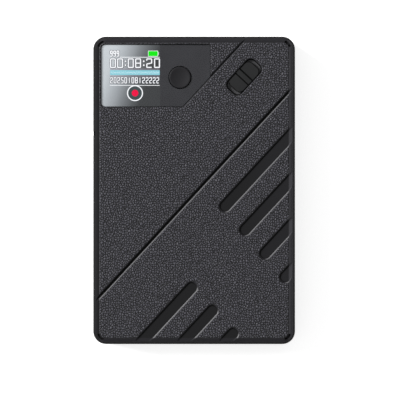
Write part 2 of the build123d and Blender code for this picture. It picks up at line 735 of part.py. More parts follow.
def port_shell():
    """The port's steel shell: a tube closed at its inner end, with a wing on each side
    that sits on the board."""
    outer = SlotOverall(PORT_WIDTH, PORT_HEIGHT)
    bore = SlotOverall(PORT_WIDTH - 2 * PORT_SHEET, PORT_HEIGHT - 2 * PORT_SHEET)
    body = extrude(port_plane(PORT_MOUTH_Y) * outer, amount=PORT_LENGTH)
    body -= extrude(port_plane(PORT_MOUTH_Y) * bore, amount=PORT_LENGTH - PORT_SHEET)
    inner_end = PORT_MOUTH_Y - PORT_LENGTH
    half = PORT_WIDTH / 2
    for side in (-1, 1):
        near, far = side * (half - PORT_SHEET), side * (half + PORT_WING)
        body += block(
            (min(near, far), inner_end + PORT_SHEET, BOARD_TOP_Z),
            (max(near, far), BOARD_TOP_Y, BOARD_TOP_Z + PORT_SHEET),
        )
    return body - extrude(
        port_plane(PORT_MOUTH_Y) * bore, amount=PORT_LENGTH - PORT_SHEET
    )


def port_tongue():
    """The port's contact tongue and the block that carries it."""
    inner_end = PORT_MOUTH_Y - PORT_LENGTH + PORT_SHEET
    base = SlotOverall(PORT_WIDTH - 2 * PORT_SHEET, PORT_HEIGHT - 2 * PORT_SHEET)
    body = extrude(port_plane(inner_end + PORT_BASE_LENGTH) * base, amount=PORT_BASE_LENGTH)
    tongue_end = inner_end + PORT_BASE_LENGTH + PORT_TONGUE_LENGTH
    half_width, half_height = PORT_TONGUE_WIDTH / 2, PORT_TONGUE_THICKNESS / 2
    return body + block(
        (-half_width, inner_end + PORT_BASE_LENGTH, PORT_Z - half_height),
        (half_width, tongue_end, PORT_Z + half_height),
    )


# --- Microphone ---------------------------------------------------------------------


def mic_plane(x):
    """A plane across the microphone at some x, with its normal pointing into the case."""
    return Plane(origin=(x, MIC_Y, MIC_Z), x_dir=(0, 1, 0), z_dir=(1, 0, 0))


def mic_slot():
    """The sound slot in the case's left wall, which breaks out through its front edge."""
    top = THICKNESS - MIC_SLOT_BELOW_FACE
    return block(
        (-HALF_WIDTH - PAST, MIC_Y - MIC_SLOT_WIDTH / 2, top - MIC_SLOT_HEIGHT),
        (-HALF_WIDTH + SIDE_WALL, MIC_Y + MIC_SLOT_WIDTH / 2, top),
    )


def mic_wall_x():
    """The inner face of the case's left wall."""
    return -HALF_WIDTH + SIDE_WALL


def microphone_mesh():
    """The dust mesh between the slot and the boot."""
    width, height = MIC_MESH_SIZE
    outline = Pos(0, MIC_HOLE_RAISE) * Rectangle(width, height)
    return extrude(mic_plane(mic_wall_x()) * outline, amount=MIC_MESH_THICKNESS)


def microphone_boot():
    """The rubber boot round the capsule, with a sound hole in its front."""
    front = mic_wall_x() + MIC_MESH_THICKNESS
    body = extrude(
        mic_plane(front) * RectangleRounded(MIC_BOOT_SIZE, MIC_BOOT_SIZE, MIC_BOOT_CORNER_RADIUS),
        amount=MIC_BOOT_DEPTH,
    )
    body -= extrude(
        mic_plane(front + MIC_BOOT_FRONT) * Circle(MIC_DIAMETER / 2), amount=MIC_BOOT_DEPTH
    )
    hole = Pos(0, MIC_HOLE_RAISE) * Circle(MIC_HOLE_DIAMETER / 2)
    return body - extrude(mic_plane(front - PAST) * hole, amount=MIC_BOOT_FRONT + 2 * PAST)


def microphone_capsule():
    """The capsule, with two pins that reach the board."""
    front = mic_wall_x() + MIC_MESH_THICKNESS + MIC_BOOT_FRONT
    body = extrude(mic_plane(front) * Circle(MIC_DIAMETER / 2), amount=MIC_DEPTH)
    pin_z = BOARD_TOP_Z + MIC_PIN_DIAMETER / 2 - MIC_Z
    pin_length = board_notch_x() + MIC_PIN_OVERLAP - front
    for side in (-1, 1):
        pin = Pos(side * MIC_PIN_PITCH / 2, pin_z) * Circle(MIC_PIN_DIAMETER / 2)
        body += extrude(mic_plane(front) * pin, amount=pin_length)
    return body


# --- Board --------------------------------------------------------------------------


def board_notch_x():
    """The edge of the board's notch beside the left case screw and the microphone."""
    return -SCREW_X + BOSS_DIAMETER / 2 + BOARD_EDGE_GAP


def board_notch_y():
    """The top of that notch."""
    return SCREW_LEFT_Y + BOSS_DIAMETER / 2 + BOARD_EDGE_GAP


def main_board():
    """The board, notched for the bosses, the microphone and the port."""
    outline = Pos(0, (BOARD_TOP_Y + BOARD_LOW_Y) / 2) * RectangleRounded(
        2 * BOARD_HALF_WIDTH, BOARD_LENGTH, BOARD_CORNER_RADIUS
    )
    body = slab(outline, BOARD_BOTTOM_Z, BOARD_TOP_Z)
    low, high = BOARD_BOTTOM_Z - PAST, BOARD_TOP_Z + PAST
    body -= block(
        (-HALF_WIDTH, BOARD_LOW_Y - PAST, low), (board_notch_x(), board_notch_y(), high)
    )
    clear = BOSS_DIAMETER / 2 + BOARD_EDGE_GAP
    body -= block((SCREW_X - clear, SCREW_Y - clear, low), (HALF_WIDTH, HALF_LENGTH, high))
    port_half = PORT_WIDTH / 2 + PORT_BOARD_GAP
    port_low = PORT_MOUTH_Y - PORT_LENGTH - PORT_BOARD_GAP
    body -= block((-port_half, port_low, low), (port_half, HALF_LENGTH, high))
    for x, y in board_screw_places():
        body -= rod(x, y, BOARD_SCREW_DIAMETER + SCREW_HOLE_CLEARANCE, low, high)
    return body


def chip(name):
    """One chip under the board, with a chamfer round its lower edge."""
    from_left, from_top, size_x, size_y, height = CHIPS[name]
    x, y = -BOARD_HALF_WIDTH + from_left, BOARD_TOP_Y - from_top
    body = Pos(x, y, BOARD_BOTTOM_Z - height) * Box(size_x, size_y, height, align=BASE)
    return chamfer(body.faces().sort_by(Axis.Z)[0].edges(), height * 0.15)


def board_passives():
    """The small resistors and capacitors below the processor, in rows."""
    size_x, size_y, height = PASSIVE_SIZE
    first_x = -BOARD_HALF_WIDTH + PASSIVE_FROM_BOARD_LEFT
    first_y = BOARD_TOP_Y - PASSIVE_FROM_BOARD_TOP
    return [
        Pos(first_x + i * PASSIVE_PITCH, first_y - j * PASSIVE_PITCH, BOARD_BOTTOM_Z - height)
        * Box(size_x, size_y, height, align=BASE)
        for i in range(PASSIVE_COLUMNS)
        for j in range(PASSIVE_ROWS)
    ]


def board_screws():
    """The screws that hold the board to the posts, heads under the board."""
    head_z = BOARD_BOTTOM_Z - BOARD_SCREW_HEAD_HEIGHT
    return [
        Pos(x, y, head_z)
        * screw(
            BOARD_SCREW_DIAMETER,
            BOARD_SCREW_LENGTH,
            BOARD_SCREW_HEAD_DIAMETER,
            BOARD_SCREW_HEAD_HEIGHT,
        )
        for x, y in board_screw_places()
    ]


# --- Battery ------------------------------------------------------------------------


def battery_cell():
    """The pouch: a soft-edged block with a thin sealed terrace at its upper end."""
    body = block(
        (-BATTERY_HALF_WIDTH, BATTERY_LOW_Y, BATTERY_LOW_Z),
        (BATTERY_HALF_WIDTH, CELL_TOP_Y, BATTERY_TOP_Z),
    )
    body = fillet(body.edges().filter_by(Axis.Y), BATTERY_EDGE_RADIUS)
    terrace_half = BATTERY_HALF_WIDTH - BATTERY_EDGE_RADIUS
    middle_z = (BATTERY_LOW_Z + BATTERY_TOP_Z) / 2
    return body + block(
        (-terrace_half, CELL_TOP_Y, middle_z - FLEX_THICKNESS),
        (terrace_half, BATTERY_TOP_Y - GUARD_BOARD_THICKNESS, middle_z + FLEX_THICKNESS),
    )


def battery_guard_board():
    """The protection board that stands on the pouch's upper end."""
    middle_z = (BATTERY_LOW_Z + BATTERY_TOP_Z) / 2
    half = GUARD_BOARD_HEIGHT / 2
    return block(
        (-GUARD_BOARD_WIDTH / 2, BATTERY_TOP_Y - GUARD_BOARD_THICKNESS, middle_z - half),
        (GUARD_BOARD_WIDTH / 2, BATTERY_TOP_Y, middle_z + half),
    )


def battery_pad():
    """The adhesive pad between the pouch and the rear cover."""
    half = BATTERY_HALF_WIDTH - PAD_MARGIN
    return block(
        (-half, BATTERY_LOW_Y + PAD_MARGIN, REAR_WALL),
        (half, CELL_TOP_Y - PAD_MARGIN, BATTERY_LOW_Z),
    )


def battery_foam():
    """Two foam strips that keep the pouch from rattling against the front shell."""
    middle_y = (BATTERY_LOW_Y + CELL_TOP_Y) / 2
    length = min(FOAM_STRIP_LENGTH, CELL_TOP_Y - BATTERY_LOW_Y - 2 * PAD_MARGIN)
    return [
        Pos(side * BATTERY_HALF_WIDTH / 2, middle_y, BATTERY_TOP_Z)
        * Box(FOAM_STRIP_WIDTH, length, BATTERY_FOAM_THICKNESS, align=BASE)
        for side in (-1, 1)
    ]


def socket_low_y():
    """The socket's open end, just inside the board's lower edge."""
    return BOARD_LOW_Y + SOCKET_FROM_BOARD_EDGE


def battery_socket():
    """The battery socket under the board, open towards the battery."""
    low_y, low_z = socket_low_y(), BOARD_BOTTOM_Z - SOCKET_HEIGHT
    half = SOCKET_WIDTH / 2
    body = block(
        (SOCKET_X - half, low_y, low_z), (SOCKET_X + half, low_y + SOCKET_DEPTH, BOARD_BOTTOM_Z)
    )
    return body - block(
        (SOCKET_X - half + SOCKET_WALL, low_y - PAST, low_z + SOCKET_WALL),
        (SOCKET_X + half - SOCKET_WALL, low_y + SOCKET_DEPTH - SOCKET_WALL,
         BOARD_BOTTOM_Z - SOCKET_WALL),
    )


def battery_plug():
    """The plug in the socket."""
    inset = SOCKET_WALL + PLUG_CLEARANCE
    half = SOCKET_WIDTH / 2 - inset
    start = socket_low_y() - PLUG_PROUD
    return block(
        (SOCKET_X - half, start, BOARD_BOTTOM_Z - SOCKET_HEIGHT + inset),
        (SOCKET_X + half, start + PLUG_LENGTH, BOARD_BOTTOM_Z - inset),
    )


def battery_lead(x_start, y_run, x_plug):
    """One lead: out of the guard board, along the gap below the board, into the plug."""
    z = BOARD_BOTTOM_Z - SOCKET_HEIGHT / 2
    route = FilletPolyline(
        (x_start, BATTERY_TOP_Y, z),
        (x_start, y_run, z),
        (x_plug, y_run, z),
        (x_plug, socket_low_y() - PLUG_PROUD, z),
        radius=LEAD_BEND,
    )
    section = Plane(origin=route @ 0, z_dir=route % 0) * Circle(LEAD_DIAMETER / 2)
    return sweep(section, path=route)


def battery_leads():
    """The black lead, which runs next to the battery, and the red one outside it."""
    black_y = BATTERY_TOP_Y + LEAD_BEND + LEAD_DIAMETER / 4
    red_y = black_y + LEAD_DIAMETER + LEAD_DIAMETER / 4
    return {
        "battery_lead_black": battery_lead(LEAD_START_X, black_y, SOCKET_X + LEAD_PITCH / 2),
        "battery_lead_red": battery_lead(
            LEAD_START_X - LEAD_RED_STEP, red_y, SOCKET_X - LEAD_PITCH / 2
        ),
    }


# --- Case ---------------------------------------------------------------------------


def seam_ring():
    """The fine shadow line cut round the case where its halves meet."""
    low, high = PARTING_Z - SEAM_HALF_HEIGHT, PARTING_Z + SEAM_HALF_HEIGHT
    return slab(case_outline(-PAST) - case_outline(SEAM_DEPTH), low, high)


def front_shell():
    """The front shell: a rounded tray with the face pattern, the window's ledge, the
    slide recess, screw bosses and the posts for the board."""
    body = slab(case_outline(), PARTING_Z, THICKNESS)
    body = fillet(body.faces().sort_by(Axis.Z)[-1].edges(), FRONT_EDGE_RADIUS)
    body -= slab(case_outline(SIDE_WALL), PARTING_Z - PAST, INNER_FACE_Z)
    body -= slab(
        case_outline(LAP_SKIN), PARTING_Z - PAST, PARTING_Z + LAP_HEIGHT + LAP_CLEARANCE
    )
    body -= seam_ring()
    for cutter in (*face_grooves(), *face_seams(), *corner_reliefs()):
        body -= cutter
    body -= slab(window_outline(WINDOW_GAP), WINDOW_LEDGE_Z, THICKNESS + PAST)
    body -= slab(screen_opening(), INNER_FACE_Z - PAST, THICKNESS)
    body -= slab(button_circle(BUTTON_HOLE_DIAMETER), INNER_FACE_Z - PAST, THICKNESS)
    body -= slide_recess()
    body -= mic_slot()
    body -= port_opening()
    pilot = SCREW_DIAMETER + 2 * SCREW_PILOT_CLEARANCE
    pilot_top = COUNTERBORE_DEPTH + SCREW_LENGTH + SCREW_PILOT_EXTRA
    for x, y in case_screw_places():
        body += rod(x, y, BOSS_DIAMETER, BOSS_FACE_Z, INNER_FACE_Z)
        body -= rod(x, y, pilot, BOSS_FACE_Z - PAST, pilot_top)
    post_pilot_top = BOARD_BOTTOM_Z + BOARD_SCREW_LENGTH + SCREW_PILOT_CLEARANCE
    post_pilot = BOARD_SCREW_DIAMETER + 2 * SCREW_PILOT_CLEARANCE
    for x, y in board_screw_places():
        body += rod(x, y, POST_DIAMETER, BOARD_TOP_Z, INNER_FACE_Z)
        body -= rod(x, y, post_pilot, BOARD_TOP_Z - PAST, post_pilot_top)
    return body


def rear_cover():
    """The rear cover: a shallow tray whose tongue laps inside the front shell, with a
    counterbored pad for each case screw."""
    body = slab(case_outline(), 0, PARTING_Z)
    body = fillet(body.faces().sort_by(Axis.Z)[0].edges(), BACK_EDGE_RADIUS)
    tongue_top = PARTING_Z + LAP_HEIGHT
    body += slab(case_outline(LAP_SKIN + LAP_CLEARANCE), PARTING_Z - SEAM_DEPTH, tongue_top)
    body -= slab(case_outline(SIDE_WALL), REAR_WALL, tongue_top + PAST)
    body -= seam_ring()
    body -= port_opening()
    for x, y in case_screw_places():
        body += rod(x, y, PAD_DIAMETER, REAR_WALL, BOSS_FACE_Z) & slab(
            case_outline(SIDE_WALL), REAR_WALL, BOSS_FACE_Z
        )
        body -= rod(x, y, SCREW_DIAMETER + SCREW_HOLE_CLEARANCE, -PAST, BOSS_FACE_Z + PAST)
        body -= rod(
            x, y, SCREW_HEAD_DIAMETER + COUNTERBORE_CLEARANCE, -PAST, COUNTERBORE_DEPTH
        )
    return body


def case_screws():
    """The four screws that hold the case together, heads in the rear cover."""
    head_z = COUNTERBORE_DEPTH - SCREW_HEAD_HEIGHT
    return [
        Pos(x, y, head_z)
        * screw(SCREW_DIAMETER, SCREW_LENGTH, SCREW_HEAD_DIAMETER, SCREW_HEAD_HEIGHT)
        for x, y in case_screw_places()
    ]


def nodes():
    """Every sub-part by name. A list is a group of separate solids."""
    made = {
        "front_shell": front_shell(),
        "rear_cover": rear_cover(),
        "display_window": display_window(),
        "window_tape": window_tape(),
        "display_gasket": display_gasket(),
        "display_glass": display_glass(),
        "display_backlight": display_backlight(),
        "display_bracket": display_bracket(),
        "display_flex": display_flex(),
        "record_button": record_button(),
        "press_switch_base": press_switch_base(),
        "press_switch_cover": press_switch_cover(),
        "press_switch_stem": press_switch_stem(),
        "press_switch_dome": press_switch_dome(),
        "slide_knob": slide_knob(),
        "slide_retainer": slide_retainer(),
        "slide_switch_base": slide_switch_base(),
        "slide_switch_cover": slide_switch_cover(),
        "slide_switch_lever": slide_switch_lever(),
        "port_shell": port_shell(),
        "port_tongue": port_tongue(),
        "microphone_mesh": microphone_mesh(),
        "microphone_boot": microphone_boot(),
        "microphone_capsule": microphone_capsule(),
        "main_board": main_board(),
        "board_passives": board_passives(),
        "board_screws": board_screws(),
        "battery_cell": battery_cell(),
        "battery_guard_board": battery_guard_board(),
        "battery_pad": battery_pad(),
        "battery_foam": battery_foam(),
        "battery_socket": battery_socket(),
        "battery_plug": battery_plug(),
        "case_screws": case_screws(),
    }
    made.update({name: chip(name) for name in CHIPS})
    made.update(battery_leads())
    return made


def main():
    """Writes one STEP file for each sub-part."""
    os.makedirs("parts", exist_ok=True)
    for name, shape in nodes().items():
        solids = shape if isinstance(shape, list) else [shape]
        loose = [solid for piece in solids for solid in piece.solids()]
        whole = loose[0] if len(loose) == 1 else Compound(children=loose)
        export_step(whole, f"parts/{name}.step")
        print(f"{name}: {len(loose)} solid(s), {sum(s.volume for s in loose):.1f} mm3")


if __name__ == "__main__":
    main()
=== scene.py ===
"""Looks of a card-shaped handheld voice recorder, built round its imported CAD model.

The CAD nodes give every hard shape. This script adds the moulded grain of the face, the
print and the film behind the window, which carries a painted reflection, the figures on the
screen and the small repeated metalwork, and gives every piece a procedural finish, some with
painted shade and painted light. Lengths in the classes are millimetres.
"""

import logging
from dataclasses import dataclass
from enum import Enum
from functools import cache
from math import cos, pi, radians, sin
from typing import Any, Callable, Iterable, Sequence

import bmesh
import bpy
import numpy as np
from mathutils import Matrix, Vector
from mathutils.geometry import delaunay_2d_cdt
from mathutils.kdtree import KDTree

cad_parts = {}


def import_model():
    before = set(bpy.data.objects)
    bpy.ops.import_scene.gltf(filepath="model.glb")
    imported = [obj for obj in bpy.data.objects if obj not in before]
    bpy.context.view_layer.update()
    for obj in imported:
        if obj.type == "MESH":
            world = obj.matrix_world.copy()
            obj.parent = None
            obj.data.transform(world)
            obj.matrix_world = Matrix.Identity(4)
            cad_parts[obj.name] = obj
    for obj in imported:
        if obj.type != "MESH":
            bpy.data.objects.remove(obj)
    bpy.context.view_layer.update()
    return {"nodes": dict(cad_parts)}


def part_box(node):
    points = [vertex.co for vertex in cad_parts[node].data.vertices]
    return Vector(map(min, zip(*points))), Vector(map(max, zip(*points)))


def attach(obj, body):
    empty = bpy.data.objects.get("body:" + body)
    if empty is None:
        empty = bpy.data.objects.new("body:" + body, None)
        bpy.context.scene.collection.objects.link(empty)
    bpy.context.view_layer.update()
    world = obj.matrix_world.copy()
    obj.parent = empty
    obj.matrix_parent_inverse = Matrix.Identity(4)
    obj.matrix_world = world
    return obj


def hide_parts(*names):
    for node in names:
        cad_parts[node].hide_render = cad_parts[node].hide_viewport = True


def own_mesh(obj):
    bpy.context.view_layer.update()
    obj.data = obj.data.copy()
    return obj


log = logging.getLogger("recorder")

MM = 0.001
WELD = 2e-6
# How far up a level face looks, and the smallest distance and turn between corners
LEVEL = 0.999
MERGE = 1e-5
SLIVER = 1e-9

CASE = "case"

Colour = tuple[float, float, float]
Point = tuple[float, float]
Place = tuple[float, float, float]
Socket = bpy.types.NodeSocket
Piece = bpy.types.Object


class Slot(Enum):
    """The record's material slots."""

    SHELL = "case_plastic"
    PRINT = "adhesive"
    SCREEN = "screen_glass"
    METAL = "stainless"
    CHIP = "chip"


# --- Node trees ---------------------------------------------------------------------


def operator(operation: str, swapped: bool = False) -> Callable[..., "Signal"]:
    """Makes a method of Signal that adds one Math node.

    Args:
        operation: The node's operation.
        swapped: Whether the method's own Signal comes second.

    Returns:
        The method.
    """

    def method(signal: "Signal", other: Any = None) -> "Signal":
        """Adds the node and gives its result."""
        inputs = {0: other, 1: signal} if swapped else {0: signal, 1: other}
        node = signal.bench.add("ShaderNodeMath", {"operation": operation}, inputs)
        return Signal(signal.bench, node.outputs[0])

    return method


class Signal:
    """A number that varies over a surface. Arithmetic on it adds Math nodes."""

    def __init__(self, bench: "Bench", socket: Socket) -> None:
        """Wraps a number socket of a bench's tree."""
        self.bench = bench
        self.socket = socket

    __add__ = __radd__ = operator("ADD")
    __sub__, __rsub__ = operator("SUBTRACT"), operator("SUBTRACT", swapped=True)
    __mul__ = __rmul__ = operator("MULTIPLY")
    __truediv__, __rtruediv__ = operator("DIVIDE"), operator("DIVIDE", swapped=True)
    __pow__ = operator("POWER")
    size = operator("ABSOLUTE")
    at_least = operator("MAXIMUM")

    def ramped(self, low: float, high: float) -> "Signal":
        """Goes smoothly from 0 at low to 1 at high, where low may be the larger.

        Args:
            low: The value that gives 0.
            high: The value that gives 1.

        Returns:
            The ramp.
        """
        node = self.bench.add(
            "ShaderNodeMapRange",
            {"interpolation_type": "SMOOTHSTEP"},
            {"Value": self, "From Min": low, "From Max": high},
        )
        return Signal(self.bench, node.outputs[0])


class Bench:
    """A node tree under construction."""

    NOISE_ROUGHNESS = 0.55

    def __init__(self, tree: bpy.types.NodeTree) -> None:
        """Works on one tree."""
        self.tree = tree

    @staticmethod
    def _pick(sockets: Iterable[Socket], key: str | int) -> Socket:
        """Finds one of a node's sockets.

        Args:
            sockets: The node's inputs or its outputs.
            key: The socket's place, or the name of an enabled one.

        Returns:
            The socket.
        """
        if isinstance(key, int):
            return sockets[key]
        return next(s for s in sockets if s.enabled and s.name == key)

    def add(
        self,
        kind: str,
        settings: dict[str, Any] | None = None,
        inputs: dict[str | int, Any] | None = None,
    ) -> bpy.types.Node:
        """Adds a node.

        Args:
            kind: The node's type.
            settings: Its own settings, and the stops of a colour ramp as "stops".
            inputs: A value, a Signal or another node's socket for each of its sockets.

        Returns:
            The new node.
        """
        node = self.tree.nodes.new(kind)
        for key, value in (settings or {}).items():
            if key == "stops":
                self._set_stops(node.color_ramp, value)
            else:
                setattr(node, key, value)
        for key, value in (inputs or {}).items():
            socket = self._pick(node.inputs, key)
            if isinstance(value, Signal):
                value = value.socket
            if isinstance(value, Socket):
                self.tree.links.new(value, socket)
            elif value is not None:
                is_colour = socket.type == "RGBA" and len(value) == 3
                socket.default_value = (*value, 1.0) if is_colour else value
        return node

    @staticmethod
    def _set_stops(ramp: bpy.types.ColorRamp, stops: Sequence[tuple[float, Colour]]) -> None:
        """Gives a ramp its places and colours.

        Args:
            ramp: The ramp.
            stops: Each stop's place and colour.
        """
        while len(ramp.elements) < len(stops):
            ramp.elements.new(1.0)
        for element, (place, colour) in zip(ramp.elements, stops):
            element.position = place
            element.color = (*colour, 1.0)

    def out(self, node: bpy.types.Node, key: str | int = 0) -> Socket:
        """One output of a node."""
        return self._pick(node.outputs, key)

    def signal(self, node: bpy.types.Node, key: str | int = 0) -> Signal:
        """One output of a node as a Signal."""
        return Signal(self, self.out(node, key))

    def place(self) -> Socket:
        """The place on the object, in metres."""
        return self.out(self.add("ShaderNodeTexCoord"), "Object")

    def along(self, axis: str) -> Signal:
        """The place's coordinate along X, Y or Z."""
        return self.signal(self.add("ShaderNodeSeparateXYZ", None, {0: self.place()}), axis)

    def facing(self, axis: str) -> Signal:
        """How far the surface faces along X, Y or Z, from -1 to 1."""
        normal = self.out(self.add("ShaderNodeNewGeometry"), "Normal")
        return self.signal(self.add("ShaderNodeSeparateXYZ", None, {0: normal}), axis)

    def stretched(self, factors: Place) -> Socket:
        """The place with each axis multiplied by its own factor."""
        inputs = {"Vector": self.place(), "Scale": factors}
        return self.out(self.add("ShaderNodeMapping", None, inputs))

    def noise(self, size: float, detail: float = 2.0, place: Socket | None = None) -> Signal:
        """Soft random mottling.

        Args:
            size: About how wide a mottle is, in millimetres.
            detail: How many finer layers it has.
            place: Where it is read, by default the place on the object.

        Returns:
            A number about 0.5.
        """
        inputs = {
            "Vector": place or self.place(),
            "Scale": 1 / (size * MM),
            "Detail": detail,
            "Roughness": self.NOISE_ROUGHNESS,
        }
        return self.signal(self.add("ShaderNodeTexNoise", None, inputs))

    def blend(self, share: Any, first: Any, second: Any) -> Socket:
        """Goes from one colour to another.

        Args:
            share: How far it goes, from 0 to 1.
            first: The colour at 0.
            second: The colour at 1.

        Returns:
            The mixed colour.
        """
        settings = {"data_type": "RGBA", "clamp_factor": True}
        node = self.add("ShaderNodeMix", settings, {"Factor": share, "A": first, "B": second})
        return self.out(node, "Result")

    def bump(self, height: Signal, depth: float) -> Socket:
        """A normal from a height of 0 to 1, where 1 stands for a depth in millimetres."""
        inputs = {"Height": height, "Distance": depth * MM, "Strength": 1.0}
        return self.out(self.add("ShaderNodeBump", None, inputs))

    def cells(self, pitch: float, randomness: float, feature: str = "F1") -> Signal:
        """How far a place is from its cell's middle or edge, as a share of their pitch in mm."""
        inputs = {"Vector": self.place(), "Scale": 1 / (pitch * MM), "Randomness": randomness}
        return self.signal(self.add("ShaderNodeTexVoronoi", {"feature": feature}, inputs))

    def coat(self, colour: Any, roughness: Any, normal: Any = None, **others: Any) -> Socket:
        """A Principled shader.

        Args:
            colour: Its base colour.
            roughness: How rough it is.
            normal: Its bumped normal.
            others: Other inputs, by name with "_" for each space.

        Returns:
            The shader.
        """
        inputs = {"Base Color": colour, "Roughness": roughness, "Normal": normal}
        inputs.update({key.replace("_", " "): value for key, value in others.items()})
        return self.out(self.add("ShaderNodeBsdfPrincipled", None, inputs))


class Recipe:
    """A Geometry Nodes tree with named inputs, run once on a start mesh."""

    def __init__(self, name: str, sizes: dict[str, float]) -> None:
        """Starts a tree.

        Args:
            name: The tree's name.
            sizes: The named inputs with their usual values.
        """
        self.tree = bpy.data.node_groups.new(name, "GeometryNodeTree")
        self.bench = Bench(self.tree)
        face = self.tree.interface
        face.new_socket("Geometry", in_out="OUTPUT", socket_type="NodeSocketGeometry")
        face.new_socket("Geometry", in_out="INPUT", socket_type="NodeSocketGeometry")
        self.keys = {"Material": self._input("Material", "NodeSocketMaterial")}
        for key in sizes:
            self.keys[key] = self._input(key, "NodeSocketFloat")
        self.sizes = sizes
        self.start = self.bench.add("NodeGroupInput")

    def _input(self, name: str, kind: str) -> str:
        """Adds a named input and gives its identifier."""
        made = self.tree.interface.new_socket(name, in_out="INPUT", socket_type=kind)
        return made.identifier

    def size(self, key: str) -> Signal:
        """A named input."""
        return self.bench.signal(self.start, key)

    def geometry(self) -> Socket:
        """The start mesh."""
        return self.bench.out(self.start, "Geometry")

    def close(self, geometry: Socket) -> None:
        """Ends the tree with real geometry that wears the material.

        Args:
            geometry: What the tree has made.
        """
        add = self.bench.add
        real = add("GeometryNodeRealizeInstances", None, {"Geometry": geometry})
        worn = {"Geometry": real.outputs[0], "Material": self.bench.out(self.start, "Material")}
        dressed = add("GeometryNodeSetMaterial", None, worn)
        add("NodeGroupOutput", None, {"Geometry": dressed.outputs[0]})

    def run(
        self,
        name: str,
        mesh: bpy.types.Mesh,
        material: bpy.types.Material,
        sizes: dict[str, float] | None = None,
    ) -> Piece:
        """Runs the tree on a mesh and keeps the result as a plain object.

        Args:
            name: The new object's name.
            mesh: The start mesh.
            material: What the result wears.
            sizes: Values for the named inputs that aren't the usual ones.

        Returns:
            The finished object.
        """
        start = bpy.data.objects.new(name + "_start", mesh)
        bpy.context.scene.collection.objects.link(start)
        modifier = start.modifiers.new("recipe", "NODES")
        modifier.node_group = self.tree
        modifier[self.keys["Material"]] = material
        for key, value in {**self.sizes, **(sizes or {})}.items():
            modifier[self.keys[key]] = value
        graph = bpy.context.evaluated_depsgraph_get()
        made = bpy.data.meshes.new_from_object(
            start.evaluated_get(graph), preserve_all_data_layers=True, depsgraph=graph
        )
        start.modifiers.remove(modifier)
        bpy.data.objects.remove(start)
        return shown(name, made)


# --- Meshes -------------------------------------------------------------------------


def shown(name: str, mesh: bpy.types.Mesh) -> Piece:
    """Puts a mesh in the scene as an object at the origin.

    Args:
        name: The object's and the mesh's name.
        mesh: The mesh, in metres.

    Returns:
        The object.
    """
    mesh.name = name
    piece = bpy.data.objects.new(name, mesh)
    bpy.context.scene.collection.objects.link(piece)
    return piece


def settle(piece: Piece) -> None:
    """Makes a finished piece ride on the case and reports it.

    Args:
        piece: The piece.
    """
    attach(piece, CASE)
    log.info("%s: %d faces on %s", piece.name, len(piece.data.polygons), CASE)


def merged(node: Piece) -> bmesh.types.BMesh:
    """A CAD node's mesh as a copy with its loose triangles joined.

    Args:
        node: The CAD node, which is only read.

    Returns:
        The copy, for its user to free.
    """
    work = bmesh.new()
    work.from_mesh(node.data)
    bmesh.ops.remove_doubles(work, verts=work.verts, dist=WELD)
    return work


def finished(name: str, work: bmesh.types.BMesh, finish: "Finish") -> Piece:
    """Turns a worked mesh into a dressed object, and frees it.

    Args:
        name: The piece's name.
        work: The mesh.
        finish: What it wears.

    Returns:
        The object.
    """
    mesh = bpy.data.meshes.new(name)
    work.to_mesh(mesh)
    work.free()
    mesh.materials.append(finish.material())
    return shown(name, mesh)


def plate(
    name: str, outline: Sequence[Point], low: float, high: float, finish: "Finish"
) -> Piece:
    """A flat plate of one outline.

    Args:
        name: The piece's name.
        outline: Its corners in order, anticlockwise from above, in metres.
        low: The height of its back, in metres.
        high: The height of its face, in metres.
        finish: What it wears.

    Returns:
        The plate.
    """
    work = bmesh.new()
    back = [work.verts.new((x, y, low)) for x, y in outline]
    front = [work.verts.new((x, y, high)) for x, y in outline]
    work.faces.new(front)
    work.faces.new(list(reversed(back)))
    for i in range(len(outline)):
        j = (i + 1) % len(outline)
        work.faces.new((back[i], back[j], front[j], front[i]))
    return finished(name, work, finish)


def circle(centre: Point, radius: float, count: int = 48) -> list[Point]:
    """Points round a circle, anticlockwise."""
    turns = [2 * pi * k / count for k in range(count)]
    return [(centre[0] + radius * cos(t), centre[1] + radius * sin(t)) for t in turns]


def rectangle(left: float, low: float, right: float, high: float) -> list[Point]:
    """The corners of a rectangle, anticlockwise."""
    return [(left, low), (right, low), (right, high), (left, high)]


